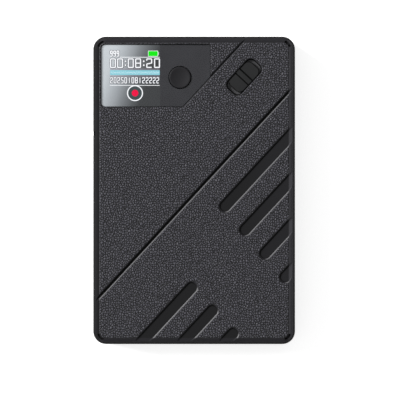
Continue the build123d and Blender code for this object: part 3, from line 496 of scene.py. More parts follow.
@dataclass
class FlatRegion:
    """The flat part of a CAD node at one height, held as its outline in millimetres."""

    points: np.ndarray
    edges: np.ndarray

    @classmethod
    def of(cls, node: Piece, height: float) -> "FlatRegion":
        """Reads the outline from the upward faces at a height.

        Args:
            node: The CAD node, whose mesh is only read.
            height: The height, in metres.

        Returns:
            The region.
        """
        work = merged(node)
        flat = {
            face
            for face in work.faces
            if face.normal.z > LEVEL and all(abs(v.co.z - height) < WELD for v in face.verts)
        }
        rim = [e for e in work.edges if sum(f in flat for f in e.link_faces) == 1]
        numbers = {v: i for i, v in enumerate(dict.fromkeys(v for e in rim for v in e.verts))}
        points = np.array([(v.co.x, v.co.y) for v in numbers]) / MM
        edges = np.array([[numbers[v] for v in e.verts] for e in rim])
        work.free()
        return cls(points, edges)

    def divided(self, step: float) -> "FlatRegion":
        """The same outline with shorter edges.

        Args:
            step: The longest that an edge may be, in millimetres.

        Returns:
            The region.
        """
        points, edges = list(self.points), []
        for start, end in self.edges:
            a, b = self.points[start], self.points[end]
            count = max(1, int(np.ceil(np.linalg.norm(b - a) / step)))
            line = [start]
            for k in range(1, count):
                points.append(a + (b - a) * k / count)
                line.append(len(points) - 1)
            line.append(end)
            edges += list(zip(line[:-1], line[1:]))
        return FlatRegion(np.array(points), np.array(edges))

    def holds(self, places: np.ndarray) -> np.ndarray:
        """Which places lie inside the outline, by the even-odd rule.

        Args:
            places: The places, in millimetres.

        Returns:
            One truth value for each place.
        """
        inside = np.zeros(len(places), bool)
        x, y = places[:, 0], places[:, 1]
        for a, b in self.points[self.edges]:
            found = np.nonzero((a[1] > y) != (b[1] > y))[0]
            if len(found):
                crossing = a[0] + (y[found] - a[1]) * (b[0] - a[0]) / (b[1] - a[1])
                inside[found[x[found] < crossing]] ^= True
        return inside

    def clearance(self, places: np.ndarray) -> np.ndarray:
        """How far each place is from the outline's nearest point.

        Args:
            places: The places, in millimetres.

        Returns:
            One distance for each place, in millimetres.
        """
        tree = KDTree(len(self.points))
        for i, (x, y) in enumerate(self.points):
            tree.insert((x, y, 0), i)
        tree.balance()
        return np.array([tree.find((x, y, 0))[2] for x, y in places])

    def triangles(self, inner: np.ndarray) -> tuple[np.ndarray, np.ndarray, dict[int, int]]:
        """Fills the outline with triangles.

        Args:
            inner: Places inside the outline that the triangles meet at, in millimetres.

        Returns:
            The corners' places, the triangles anticlockwise from above, and the corner
            that each of the outline's points became.
        """
        places = [Vector(p) for p in (*self.points, *inner)]
        links = [tuple(int(i) for i in e) for e in self.edges]
        corners, _, faces, origins, _, _ = delaunay_2d_cdt(places, links, [], 0, MERGE)
        corners = np.array([(c.x, c.y) for c in corners])
        faces = np.array([f for f in faces if len(f) == 3])
        a, b, c = (corners[faces[:, k]] for k in range(3))
        turn = (b[:, 0] - a[:, 0]) * (c[:, 1] - a[:, 1]) - (b[:, 1] - a[:, 1]) * (c[:, 0] - a[:, 0])
        faces[turn < 0] = faces[turn < 0][:, ::-1]
        faces = faces[self.holds((a + b + c) / 3) & (np.abs(turn) > SLIVER)]
        rim = {}
        for corner, sources in enumerate(origins):
            for source in sources:
                if source < len(self.points):
                    rim[source] = corner
        return corners, faces, rim


# --- The face's grain ---------------------------------------------------------------

GRAIN_FADE = "grain_fade"


@dataclass(frozen=True)
class Leather:
    """The grain's pattern: pebbles between winding creases. The mesh and the finish share it."""

    pebble: float = 0.72
    warp: float = 0.5
    seed: float = 3.0

    wander_scale: float = 0.9
    wander_detail: float = 2.0
    irregular: float = 0.95
    pebble_edge: Point = (0.04, 0.27)
    ridge_scale: float = 1.9
    ridge_edge: Point = (0.0, 0.3)
    ridge_share: float = 0.2

    @staticmethod
    def _vector(bench: Bench, operation: str, inputs: dict[int | str, Any]) -> Socket:
        """One Vector Math node's result."""
        return bench.out(bench.add("ShaderNodeVectorMath", {"operation": operation}, inputs))

    def _cells(self, bench: Bench, place: Socket, scale: float) -> Signal:
        """How far a place is from the edge of its flat cell.

        Args:
            bench: The tree it is built in.
            place: The place, in pebbles.
            scale: How many cells there are to a pebble.

        Returns:
            The distance, in cells.
        """
        settings = {"feature": "DISTANCE_TO_EDGE", "voronoi_dimensions": "2D"}
        inputs = {"Vector": place, "Scale": scale, "Randomness": self.irregular}
        return bench.signal(bench.add("ShaderNodeTexVoronoi", settings, inputs))

    def height(
        self, bench: Bench, place: Any, pebble: Any = None, warp: Any = None, seed: Any = None
    ) -> Signal:
        """The pattern's height at a place.

        Args:
            bench: The tree it is built in.
            place: The place, in metres.
            pebble: The pebbles' size in metres, by default the pattern's own.
            warp: How far the creases wander, by default the pattern's own.
            seed: Picks the creases' paths, by default the pattern's own.

        Returns:
            The height, from about 0 in a crease to about 1 on a pebble.
        """
        pebble = self.pebble * MM if pebble is None else pebble
        warp = self.warp if warp is None else warp
        seed = self.seed if seed is None else seed
        place = self._vector(bench, "SCALE", {0: place, "Scale": 1 / pebble})
        settings = {"noise_dimensions": "4D"}
        inputs = {
            "Vector": place,
            "W": seed,
            "Scale": self.wander_scale,
            "Detail": self.wander_detail,
        }
        wander = bench.out(bench.add("ShaderNodeTexNoise", settings, inputs), "Color")
        centred = self._vector(bench, "SUBTRACT", {0: wander, 1: (0.5, 0.5, 0.5)})
        pull = self._vector(bench, "SCALE", {0: centred, "Scale": warp * 2.0})
        moved = self._vector(bench, "ADD", {0: place, 1: pull})
        pebbles = self._cells(bench, moved, 1.0).ramped(*self.pebble_edge)
        ridges = self._cells(bench, moved, self.ridge_scale).ramped(*self.ridge_edge)
        return pebbles * (1 - self.ridge_share + self.ridge_share * ridges)


LEATHER = Leather()


# --- Finishes -----------------------------------------------------------------------


def toned(colour: Colour, factor: float) -> Colour:
    """A colour made lighter or darker."""
    return tuple(factor * c for c in colour)


class Finish:
    """A procedural material, made once and shared by the pieces that wear it."""

    name: str

    def surface(self, bench: Bench) -> Socket:
        """Builds the shader and gives its output."""
        raise NotImplementedError

    def material(self) -> bpy.types.Material:
        """Makes the material on first use, and finds it again later.

        Returns:
            The material.
        """
        name = self.name + "_finish"
        found = bpy.data.materials.get(name)
        if found:
            return found
        made = bpy.data.materials.new(name)
        made.use_nodes = True
        made.node_tree.nodes.clear()
        bench = Bench(made.node_tree)
        bench.add("ShaderNodeOutputMaterial", None, {"Surface": self.surface(bench)})
        return made

    def wear(self, node: Piece) -> None:
        """Puts the material on a CAD node.

        Args:
            node: The node.
        """
        if not node.material_slots:
            node.data.materials.append(None)
        node.material_slots[0].material = self.material()
        log.info("%s wears %s", node.name, self.name)


@dataclass(frozen=True)
class GrainedPlastic(Finish):
    """Black plastic under the leather-like grain, with shade painted into the creases."""

    name: str = "grained_plastic"
    pebble_colour: Colour = (0.078, 0.0765, 0.0935)
    crease_shade_colour: Colour = (0.003, 0.003, 0.0034)
    edge_colour: Colour = (0.036, 0.0355, 0.041)
    pebble_roughness: float = 0.45
    crease_roughness: float = 0.7
    pebble_heights: Point = (0.08, 0.7)
    edge_fade: Point = (0.05, 0.6)
    grain_depth: float = 0.15
    pore_size: float = 0.16
    pore_detail: float = 3.0
    pore_depth: float = 0.012
    pore_sheen: float = 0.2
    handled_size: float = 14.0
    handled_range: Point = (0.45, 0.75)
    handled_share: float = 0.1
    handled_tone: float = 1.35

    def surface(self, bench: Bench) -> Socket:
        """Follows the mesh's grain more sharply and adds pores finer than it.

        Args:
            bench: The material's tree.

        Returns:
            The shader.
        """
        fade = bench.signal(bench.add("ShaderNodeAttribute", {"attribute_name": GRAIN_FADE}), "Fac")
        height = LEATHER.height(bench, bench.place()) * fade
        pores = bench.noise(self.pore_size, self.pore_detail)
        handled = bench.noise(self.handled_size).ramped(*self.handled_range) * self.handled_share
        raised = height.ramped(*self.pebble_heights)
        # Painted shade: the colour darkens into the creases, where the grain is low
        colour = bench.blend(raised, self.crease_shade_colour, self.pebble_colour)
        worn = toned(self.pebble_colour, self.handled_tone)
        colour = bench.blend(raised * handled, colour, worn)
        colour = bench.blend(fade.ramped(*self.edge_fade), self.edge_colour, colour)
        spread = self.crease_roughness - self.pebble_roughness
        roughness = self.crease_roughness - raised * spread + (pores - 0.5) * self.pore_sheen
        relief = height + pores * (self.pore_depth / self.grain_depth)
        return bench.coat(colour, roughness, bench.bump(relief, self.grain_depth))


@dataclass(frozen=True)
class MouldedPlastic(Finish):
    """Plain moulded plastic with a fine spark texture and a slightly uneven sheen."""

    name: str
    colour: Colour
    roughness: float = 0.42
    spark_size: float = 0.12
    spark_depth: float = 0.004
    uneven: float = 0.08
    gloss: float = 0.35
    uneven_size: float = 9.0
    mottle_tone: float = 0.88
    mottle_size: float = 6.0
    mottle_detail: float = 3.0
    mottle_range: Point = (0.3, 0.7)

    def tint(self, bench: Bench) -> Socket:
        """The colour, slightly mottled."""
        mottle = bench.noise(self.mottle_size, self.mottle_detail).ramped(*self.mottle_range)
        return bench.blend(mottle, toned(self.colour, self.mottle_tone), self.colour)

    def sheen(self, bench: Bench) -> Signal:
        """The roughness, slightly uneven."""
        return (bench.noise(self.uneven_size) - 0.5) * self.uneven + self.roughness

    def surface(self, bench: Bench) -> Socket:
        """Mottles the colour and sheen and roughens the surface.

        Args:
            bench: The material's tree.

        Returns:
            The shader.
        """
        sparks = bench.bump(bench.noise(self.spark_size), self.spark_depth)
        finish = (self.tint(bench), self.sheen(bench), sparks)
        return bench.coat(*finish, Specular_IOR_Level=self.gloss)


@dataclass(frozen=True)
class Pill:
    """A rounded rectangle on the face, turned about its middle. Millimetres and degrees."""

    middle: Point
    half: Point
    corner: float
    turn: float

    def outward(self, bench: Bench) -> Signal:
        """How far outside its outline a place is.

        Args:
            bench: The tree it is built in.

        Returns:
            The distance in millimetres, below 0 inside the outline.
        """
        x = bench.along("X") / MM - self.middle[0]
        y = bench.along("Y") / MM - self.middle[1]
        c, s = cos(radians(self.turn)), sin(radians(self.turn))
        over = (x * c + y * s).size() - (self.half[0] - self.corner)
        past = (y * c - x * s).size() - (self.half[1] - self.corner)
        return (over.at_least(0) ** 2 + past.at_least(0) ** 2) ** 0.5 - self.corner


@dataclass(frozen=True)
class CasePlastic(MouldedPlastic):
    """The smooth parts of the front shell.

    Groove floors get painted shade and have satin walls, the rim is matt and the sides are darker
    still.
    The rim gets painted shade on its left and painted light on its right. Painted shade also lies
    at the walls' feet, on walls facing away from the light, round the switch recess, on the rim's
    shoulder and at its corner steps; painted light lies on the switch recess floor, and on walls
    facing the light below the slanted seam, with painted shade on those above it.
    Depths are millimetres from the face, and slopes are how far a surface faces upwards.
    """

    name: str = "case_plastic"
    colour: Colour = (0.021, 0.0205, 0.024)
    roughness: float = 0.45
    spark_size: float = 0.3
    spark_depth: float = 0.03
    gloss: float = 0.22
    matt_roughness: float = 0.8
    groove_shade_colour: Colour = (0.012, 0.012, 0.013)
    recess_painted_light_colour: Colour = (0.095, 0.095, 0.10)
    left_painted_shade_colour: Colour = (0.006, 0.0058, 0.007)
    right_painted_light_colour: Colour = (0.055, 0.054, 0.060)
    lit_colour: Colour = (0.13, 0.129, 0.135)
    side_colour: Colour = (0.024, 0.024, 0.026)
    painted_shade_colour: Colour = (0.001, 0.001, 0.001)
    half: Point = (31.5, 48.0)
    face_height: float = 10.0
    rim: float = 2.0
    rim_reach: Point = (-0.1, 0.15)
    rim_edge: Point = (28.8, 29.8)
    rim_step: Point = (-0.3, -0.4)
    floor_depth: Point = (-0.1, -0.2)
    foot_depth: Point = (-0.15, -0.21)
    wall_depth: Point = (-0.05, -0.1)
    seam_depth: Point = (-0.42, -0.35)
    recess_depth: Point = (-0.5, -0.6)
    level_slope: Point = (0.97, 0.995)
    side_slope: Point = (0.3, 0.15)
    shoulder_slopes: tuple[Point, Point] = ((0.8, 0.6), (0.15, 0.3))
    away_slant: Point = (0.2, 0.45)
    lit_slant: Point = (-0.4, -0.65)
    pale_span: Point = (12.0, 28.0)
    pale_share: float = 0.6
    seam_slope: float = 1.082
    upper_span: Point = (8.0, 12.0)
    faint_share: float = 0.7
    pill: Pill = Pill((15.6, 35.3), (6.125, 2.975), 2.0, 47.25)
    pill_edge: Point = (-0.4, -0.28)

    def outward(self, bench: Bench) -> Signal:
        """How far a place is from the rim's inner edge, towards the outside, in millimetres."""
        across = bench.along("X").size() / MM - (self.half[0] - self.rim)
        return across.at_least(bench.along("Y").size() / MM - (self.half[1] - self.rim))

    def surface(self, bench: Bench) -> Socket:
        """Tells floors, walls, rim and sides apart by their place and slope.

        Args:
            bench: The material's tree.

        Returns:
            The shader.
        """
        up, height = bench.facing("Z"), bench.along("Z") / MM - self.face_height
        across = bench.along("X") / MM
        level = up.ramped(*self.level_slope)
        rim = self.outward(bench).ramped(*self.rim_reach)
        inside = 1 - rim
        above = bench.along("Y") / MM - across * self.seam_slope
        upper = above.ramped(*self.upper_span)
        faint = 1 - upper * height.ramped(*self.seam_depth) * self.faint_share
        floor = level * inside * height.ramped(*self.floor_depth)
        recess = floor * height.ramped(*self.recess_depth)
        strong = 1 - across.ramped(*self.pale_span) * self.pale_share
        slant = bench.facing("X") - bench.facing("Y")
        away, towards = slant.ramped(*self.away_slant), slant.ramped(*self.lit_slant)
        # Painted shade: black at the walls' feet, on walls facing away from the light, round the
        # switch recess floor's edge and on walls facing the light above the seam
        dark = (1 - level) * inside * height.ramped(*self.foot_depth)
        dark = dark.at_least(inside * away * height.ramped(*self.wall_depth))
        dark = dark.at_least(recess * self.pill.outward(bench).ramped(*self.pill_edge))
        dark = dark.at_least(inside * towards * upper) * faint
        # Painted shade: the rim's outer shoulder and its corner steps are black as well
        shoulder = rim
        for slopes in self.shoulder_slopes:
            shoulder = shoulder * up.ramped(*slopes)
        dark = dark.at_least(shoulder).at_least(rim * level * height.ramped(*self.rim_step))
        near, far = self.rim_edge
        colour = self.tint(bench)
        for share, tone in (
            # Painted shade on the groove floors, weaker towards the right and above the seam
            (floor * strong * faint, self.groove_shade_colour),
            # Painted light on the deep switch recess floor, against its walls' shadow
            (recess, self.recess_painted_light_colour),
            # Painted shade on the rim's left side
            (rim * across.ramped(-near, -far), self.left_painted_shade_colour),
            # Painted light on the rim's right side
            (rim * across.ramped(near, far), self.right_painted_light_colour),
            # Painted highlight on walls facing the light, below the seam
            (inside * towards * (1 - upper), self.lit_colour),
            (rim * up.ramped(*self.side_slope), self.side_colour),
            # Painted shade, black
            (dark, self.painted_shade_colour),
        ):
            colour = bench.blend(share, colour, tone)
        matt = rim.at_least(floor).at_least(dark) * (self.matt_roughness - self.roughness)
        sparks = bench.bump(bench.noise(self.spark_size) * rim, self.spark_depth)
        finish = (colour, self.sheen(bench) + matt, sparks)
        return bench.coat(*finish, Specular_IOR_Level=self.gloss)


@dataclass(frozen=True)
class KnobPlastic(MouldedPlastic):
    """The slide knob's plastic, with painted shade in its gaps and round its pads."""

    pad_height: float = 9.85
    gap_depth: Point = (0.01, 0.04)
    gap_shade_colour: Colour = (0.001, 0.001, 0.001)
    pill: Pill = Pill((15.6, 35.3), (4.925, 2.775), 1.8, 47.25)
    pill_edge: Point = (-0.3, -0.2)

    def tint(self, bench: Bench) -> Socket:
        """Paints shade on the pads' edges and on what lies below the pads.

        Args:
            bench: The material's tree.

        Returns:
            The colour.
        """
        top, bottom = ((self.pad_height - depth) * MM for depth in self.gap_depth)
        below = bench.along("Z").ramped(top, bottom)
        edge = self.pill.outward(bench).ramped(*self.pill_edge)
        # Painted shade: black below the pads' tops and round their outline
        return bench.blend(below.at_least(edge), super().tint(bench), self.gap_shade_colour)


@dataclass(frozen=True)
class ClearWindow(Finish):
    """A clear window that shows what is behind it, with a glossy surface."""

    name: str = "clear_window"
    smoke: Colour = (0.93, 0.94, 0.95)
    roughness: float = 0.04
    smudge: float = 0.03
    smudge_size: float = 7.0
    smudge_detail: float = 3.0
    smudge_range: Point = (0.35, 0.8)
    refraction: float = 1.49

    def surface(self, bench: Bench) -> Socket:
        """Mixes a clear pane with its reflection.

        Args:
            bench: The material's tree.

        Returns:
            The shader.
        """
        smudge = bench.noise(self.smudge_size, self.smudge_detail).ramped(*self.smudge_range)
        clear = bench.add("ShaderNodeBsdfTransparent", None, {"Color": self.smoke})
        inputs = {"Roughness": self.roughness + smudge * self.smudge, "Color": (1, 1, 1)}
        gloss = bench.add("ShaderNodeBsdfGlossy", None, inputs)
        fresnel = bench.signal(bench.add("ShaderNodeFresnel", None, {"IOR": self.refraction}))
        share = fresnel * (1 - bench.signal(bench.add("ShaderNodeNewGeometry"), "Backfacing"))
        inputs = {0: share, 1: bench.out(clear), 2: bench.out(gloss)}
        return bench.out(bench.add("ShaderNodeMixShader", None, inputs))


@dataclass(frozen=True)
class PaintedReflectionFilm(Finish):
    """The screen's film, with a painted reflection that is silver along its left edge and darker
    towards the right.
    """

    name: str = "painted_reflection_film"
    left: float = -28.8
    middle: float = 35.7
    slant: float = 0.36
    offset: float = 3.5
    width: float = 25.0
    glow: float = 0.3
    ripple: float = 0.02
    ripple_size: float = 5.0
    ripple_detail: float = 1.0
    ripple_stretch: Place = (1.0, 0.25, 1.0)
    grain_size: float = 0.2
    grain_depth: float = 0.002
    roughness: float = 0.6
    uneven: float = 0.1
    gloss: float = 0.1
    stops: tuple[tuple[float, Colour], ...] = (
        (0.0, (0.59, 0.62, 0.64)),
        (0.19, (0.55, 0.58, 0.60)),
        (0.28, (0.455, 0.48, 0.50)),
        (0.43, (0.29, 0.305, 0.32)),
        (0.50, (0.20, 0.212, 0.222)),
        (0.56, (0.148, 0.156, 0.164)),
        (0.65, (0.088, 0.093, 0.097)),
        (0.74, (0.044, 0.046, 0.048)),
        (1.0, (0.04, 0.0415, 0.044)),
    )

    def surface(self, bench: Bench) -> Socket:
        """Grades the painted reflection across the film, along a slanted line, and makes it glow.

        Args:
            bench: The material's tree.

        Returns:
            The shader.
        """
        across = bench.along("X") / MM - self.left
        up = bench.along("Y") / MM - self.middle
        share = (across - up * self.slant + self.offset) / self.width
        place = bench.stretched(self.ripple_stretch)
        ripple = bench.noise(self.ripple_size, self.ripple_detail, place) - 0.5
        share = share + ripple * self.ripple
        ramp = bench.add("ShaderNodeValToRGB", {"stops": self.stops}, {0: share})
        colour, grain = bench.out(ramp, "Color"), bench.noise(self.grain_size)
        # Painted reflection: the graded colour is also given off as light
        light = {"Emission_Color": colour, "Emission_Strength": self.glow}
        roughness = self.roughness + (grain - 0.5) * self.uneven
        relief = bench.bump(grain, self.grain_depth)
        return bench.coat(colour, roughness, relief, Specular_IOR_Level=self.gloss, **light)


@dataclass(frozen=True)
class LitInk(Finish):
    """The lit parts of the screen, broken up by its fine grid of dots."""

    name: str
    colour: Colour
    power: float = 1.0
    dot_size: float = 0.12
    dot_tone: float = 0.82
    dot_range: Point = (0.35, 0.6)
    base_tone: float = 0.1
    roughness: float = 0.5
    uneven: float = 0.1

    def surface(self, bench: Bench) -> Socket:
        """Makes the colour glow, a little less between the dots.

        Args:
            bench: The material's tree.

        Returns:
            The shader.
        """
        dots = bench.cells(self.dot_size, 0.0)
        dim = toned(self.colour, self.dot_tone)
        glow = bench.blend(dots.ramped(*self.dot_range), self.colour, dim)
        light = {"Emission_Color": glow, "Emission_Strength": self.power}
        base, roughness = toned(self.colour, self.base_tone), self.roughness + dots * self.uneven
        return bench.coat(base, roughness, Specular_IOR_Level=0.0, **light)


@dataclass(frozen=True)
class SheetMetal(Finish):
    """Rolled or plated metal with fine streaks along X."""

    name: str
    colour: Colour
    roughness: float = 0.3
    uneven: float = 0.2
    streak_size: float = 0.25
    streak_detail: float = 3.0
    streak_stretch: Place = (0.05, 1.0, 1.0)
    streak_range: Point = (0.3, 0.7)
    streak_tone: float = 0.8
    streak_depth: float = 0.003

    def surface(self, bench: Bench) -> Socket:
        """Streaks the colour, the sheen and the surface.

        Args:
            bench: The material's tree.

        Returns:
            The shader.
        """
        place = bench.stretched(self.streak_stretch)
        streaks = bench.noise(self.streak_size, self.streak_detail, place)
        tones = toned(self.colour, self.streak_tone), self.colour
        colour = bench.blend(streaks.ramped(*self.streak_range), *tones)
        roughness = self.roughness + (streaks - 0.5) * self.uneven
        return bench.coat(colour, roughness, bench.bump(streaks, self.streak_depth), Metallic=1.0)


@dataclass(frozen=True)
class Foil(Finish):
    """The pouch's laminated foil, softly crumpled."""

    name: str = "pouch_foil"
    colour: Colour = (0.62, 0.63, 0.65)
    ridge_highlight_colour: Colour = (0.7, 0.71, 0.73)
    roughness: float = 0.3
    uneven: float = 0.15
    metallic: float = 0.85
    crease_size: float = 3.5
    crease_detail: float = 4.0
    crease_depth: float = 0.12

    def surface(self, bench: Bench) -> Socket:
        """Crumples a satin metal and paints a highlight on its raised parts.

        Args:
            bench: The material's tree.

        Returns:
            The shader.
        """
        creases = bench.noise(self.crease_size, self.crease_detail)
        # Painted highlight: the colour is lighter where the crumples rise
        colour = bench.blend(creases, self.colour, self.ridge_highlight_colour)
        relief = bench.bump(creases, self.crease_depth)
        roughness = self.roughness + creases * self.uneven
        return bench.coat(colour, roughness, relief, Metallic=self.metallic)


@dataclass(frozen=True)
class BoardMask(Finish):
    """A board's green solder mask over raised copper tracks."""

    name: str = "board_mask"
    colour: Colour = (0.006, 0.05, 0.02)
    track_colour: Colour = (0.015, 0.11, 0.045)
    roughness: float = 0.28
    uneven: float = 0.1
    uneven_size: float = 0.4
    track_pitch: float = 1.1
    track_randomness: float = 0.35
    track_edge: Point = (0.16, 0.1)
    track_height: float = 0.03

    def surface(self, bench: Bench) -> Socket:
        """Draws square-cornered tracks under the mask.

        Args:
            bench: The material's tree.

        Returns:
            The shader.
        """
        gap = bench.cells(self.track_pitch, self.track_randomness, "DISTANCE_TO_EDGE")
        track = gap.ramped(*self.track_edge)
        colour = bench.blend(track, self.colour, self.track_colour)
        relief = bench.bump(track, self.track_height)
        roughness = self.roughness + bench.noise(self.uneven_size) * self.uneven
        return bench.coat(colour, roughness, relief)


@dataclass(frozen=True)
class Weave(Finish):
    """A fine woven or foamed material with open cells."""

    name: str
    colour: Colour
    cell: float = 0.15
    depth: float = 0.03
    randomness: float = 0.3
    thread_range: Point = (0.1, 0.5)
    pit_shade_tone: float = 0.4
    roughness: float = 0.8
    uneven: float = 0.1

    def surface(self, bench: Bench) -> Socket:
        """Sinks each cell and paints shade into its middle.

        Args:
            bench: The material's tree.

        Returns:
            The shader.
        """
        cells = bench.cells(self.cell, self.randomness)
        # Painted shade: each cell is darker towards its sunken middle
        tones = toned(self.colour, self.pit_shade_tone), self.colour
        colour = bench.blend(cells.ramped(*self.thread_range), *tones)
        roughness = self.roughness + cells * self.uneven
        return bench.coat(colour, roughness, bench.bump(cells, self.depth))


@dataclass(frozen=True)
class Floor(Finish):
    """The pale floor: a light table, very slightly mottled."""

    name: str = "pale_floor"
    colour: Colour = (0.92, 0.92, 0.92)
    pale_colour: Colour = (0.94, 0.94, 0.94)
    glow: float = 0.7
    mottle_size: float = 60.0
    mottle_detail: float = 3.0
    roughness: float = 0.9

    def surface(self, bench: Bench) -> Socket:
        """Lights a matt surface.

        Args:
            bench: The material's tree.

        Returns:
            The shader.
        """
        mottle = bench.noise(self.mottle_size, self.mottle_detail)
        colour = bench.blend(mottle, self.colour, self.pale_colour)
        light = {"Emission_Color": (1.0, 1.0, 1.0), "Emission_Strength": self.glow}
        return bench.coat(colour, self.roughness, Specular_IOR_Level=0.0, **light)


BLACK_PLASTIC = MouldedPlastic("inner_plastic", (0.02, 0.02, 0.022), roughness=0.55)
NYLON = MouldedPlastic("nylon", (0.75, 0.73, 0.68), roughness=0.5)
EPOXY = MouldedPlastic("epoxy", (0.018, 0.018, 0.02), roughness=0.6, spark_depth=0.01)
FOAM = Weave("foam", (0.03, 0.03, 0.03), cell=0.35, depth=0.08)
TAPE = Weave("tape", (0.02, 0.02, 0.02), cell=0.12, depth=0.01)
TINNED_STEEL = SheetMetal("tinned_steel", (0.62, 0.62, 0.63), 0.32)
BRIGHT_STEEL = SheetMetal("bright_steel", (0.72, 0.71, 0.70), 0.2)
SCREW_STEEL = SheetMetal("blackened_steel", (0.09, 0.09, 0.095), 0.35)
TIN = SheetMetal("tinned", (0.72, 0.72, 0.73), 0.25)
GOLD = SheetMetal("gilt", (0.85, 0.62, 0.25), 0.22)


# --- Sub-assemblies -----------------------------------------------------------------


@dataclass
class SubAssembly:
    """CAD nodes that belong together, with the pieces that are added to them."""

    nodes: dict[str, Piece]

    def build(self) -> None:
        """Dresses the nodes and adds the pieces."""
        raise NotImplementedError

    def dress(self, finish: Finish, *names: str) -> None:
        """Gives the named CAD nodes one finish."""
        for name in names:
            finish.wear(self.nodes[name])


@dataclass
class FrontShell(SubAssembly):
    """The front shell and the grained skin of its flat face."""

    shell: str = "front_shell"
    spacing: float = 0.26
    quick_spacing: float = 0.6
    relief: float = 0.12
    fade: float = 0.22
    lip: float = 0.01
    root: float = 0.02
    edge_gap: float = 0.5
    smooth_slope: float = 0.3
    plastic: Finish = CasePlastic()
    grain: Finish = GrainedPlastic()

    def build(self) -> None:
        """Dresses the shell and lays the grained skin on it."""
        self.dress(self.plastic, self.shell)
        skin = self.recipe().run("grained_skin", self.blank(), self.grain.material())
        for polygon in skin.data.polygons:
            polygon.use_smooth = polygon.normal.z > self.smooth_slope
        settle(skin)

    @staticmethod
    def lattice(region: FlatRegion, step: float) -> np.ndarray:
        """Evenly spaced places inside a region, in rows set off by half a step.

        Args:
            region: The region.
            step: How far apart the places are, in millimetres.

        Returns:
            The places, in millimetres.
        """
        low, high = region.points.min(0), region.points.max(0)
        rows = np.arange(low[1] + step / 2, high[1], step * sin(radians(60)))
        places = []
        for k, y in enumerate(rows):
            x = np.arange(low[0] + (k % 2) * step / 2, high[0], step)
            places.append(np.column_stack([x, np.full_like(x, y)]))
        places = np.concatenate(places)
        return places[region.holds(places)]

    def blank(self) -> bpy.types.Mesh:
        """The skin before its grain: a closed thin sheet with the face's exact outline.

        Returns:
            The mesh, in metres, whose fade attribute falls to 0 at every edge.
        """
        step = self.spacing
        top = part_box(self.shell)[1].z
        outline = FlatRegion.of(self.nodes[self.shell], top)
        region = outline.divided(step)
        inner = self.lattice(outline, step)
        inner = inner[region.clearance(inner) > self.edge_gap * step]
        corners, faces, rim = region.triangles(inner)
        _, under, under_rim = region.triangles(np.zeros((0, 2)))
        edge = sorted(set(rim.values()))
        lower = {corner: len(corners) + k for k, corner in enumerate(edge)}
        crossed = {under_rim[i]: lower[rim[i]] for i in rim if i in under_rim}
        links = {tuple(link) for k in range(3) for link in faces[:, [k, (k + 1) % 3]].tolist()}
        sides = [(b, a, lower[a], lower[b]) for a, b in links if (b, a) not in links]
        base = [tuple(crossed[i] for i in face[::-1]) for face in under]
        heights = np.full(len(corners), top + self.lip * MM)
        places = np.column_stack([corners * MM, heights])
        bottom = np.column_stack([corners[edge] * MM, np.full(len(edge), top - self.root * MM)])
        mesh = bpy.data.meshes.new("grained_skin")
        every = np.concatenate([places, bottom])
        mesh.from_pydata(every.tolist(), [], [*map(tuple, faces.tolist()), *sides, *base])
        share = np.zeros(len(every))
        reach = np.clip(region.clearance(corners) / self.fade, 0, 1)
        share[: len(corners)] = reach * reach * (3 - 2 * reach)
        share[edge] = 0
        mesh.attributes.new(GRAIN_FADE, "FLOAT", "POINT").data.foreach_set("value", share)
        return mesh

    def recipe(self) -> Recipe:
        """The tree that raises the leather's pebbles, lower towards an edge.

        Returns:
            The recipe.
        """
        sizes = {
            "Pebble Size": LEATHER.pebble * MM,
            "Relief": self.relief * MM,
            "Warp": LEATHER.warp,
            "Seed": LEATHER.seed,
        }
        recipe = Recipe("leather_grain", sizes)
        bench, add = recipe.bench, recipe.bench.add
        position = bench.out(add("GeometryNodeInputPosition"))
        shape = (recipe.size(key) for key in ("Pebble Size", "Warp", "Seed"))
        height = LEATHER.height(bench, position, *shape)
        named = add("GeometryNodeInputNamedAttribute", {"data_type": "FLOAT"}, {"Name": GRAIN_FADE})
        lift = height * bench.signal(named, "Attribute") * recipe.size("Relief")
        offset = add("ShaderNodeCombineXYZ", None, {"Z": lift})
        inputs = {"Geometry": recipe.geometry(), "Offset": bench.out(offset)}
        recipe.close(bench.out(add("GeometryNodeSetPosition", None, inputs)))
        return recipe


@dataclass
class RearCase(SubAssembly):
    """The rear cover and the screws that hold it."""

    plastic: Finish = MouldedPlastic(
        "rear_plastic", (0.022, 0.022, 0.024), 0.5, spark_size=0.25, spark_depth=0.02
    )

    def build(self) -> None:
        """Dresses the cover and its screws."""
        self.dress(self.plastic, "rear_cover")
        self.dress(SCREW_STEEL, "case_screws")


# --- Window and screen --------------------------------------------------------------


@dataclass(frozen=True)
class Stroke:
    """A drawn line: its points in order, and whether it closes on itself."""

    points: tuple[Point, ...]
    closed: bool = False


# Figures on a cell one wide and one high, its lower left corner at the origin
FIGURES: dict[str, tuple[Stroke, ...]] = {
    "0": (Stroke(((0, 0), (1, 0), (1, 1), (0, 1)), True),),
    "1": (Stroke(((0.5, 0), (0.5, 1))),),
    "2": (Stroke(((0, 0.8), (0, 1), (1, 1), (1, 0.52), (0, 0.4), (0, 0), (1, 0))),),
    "5": (Stroke(((1, 1), (0, 1), (0, 0.54), (1, 0.54), (1, 0), (0, 0))),),
    "8": (
        Stroke(((0, 0), (1, 0), (1, 1), (0, 1)), True),
        Stroke(((0.08, 0.5), (0.92, 0.5))),
    ),
    "9": (Stroke(((1, 0.46), (0, 0.46), (0, 1), (1, 1), (1, 0), (0, 0))),),
    ":": (
        Stroke(((0.46, 0.22), (0.54, 0.22), (0.54, 0.3), (0.46, 0.3)), True),
        Stroke(((0.46, 0.68), (0.54, 0.68), (0.54, 0.76), (0.46, 0.76)), True),
    ),
}


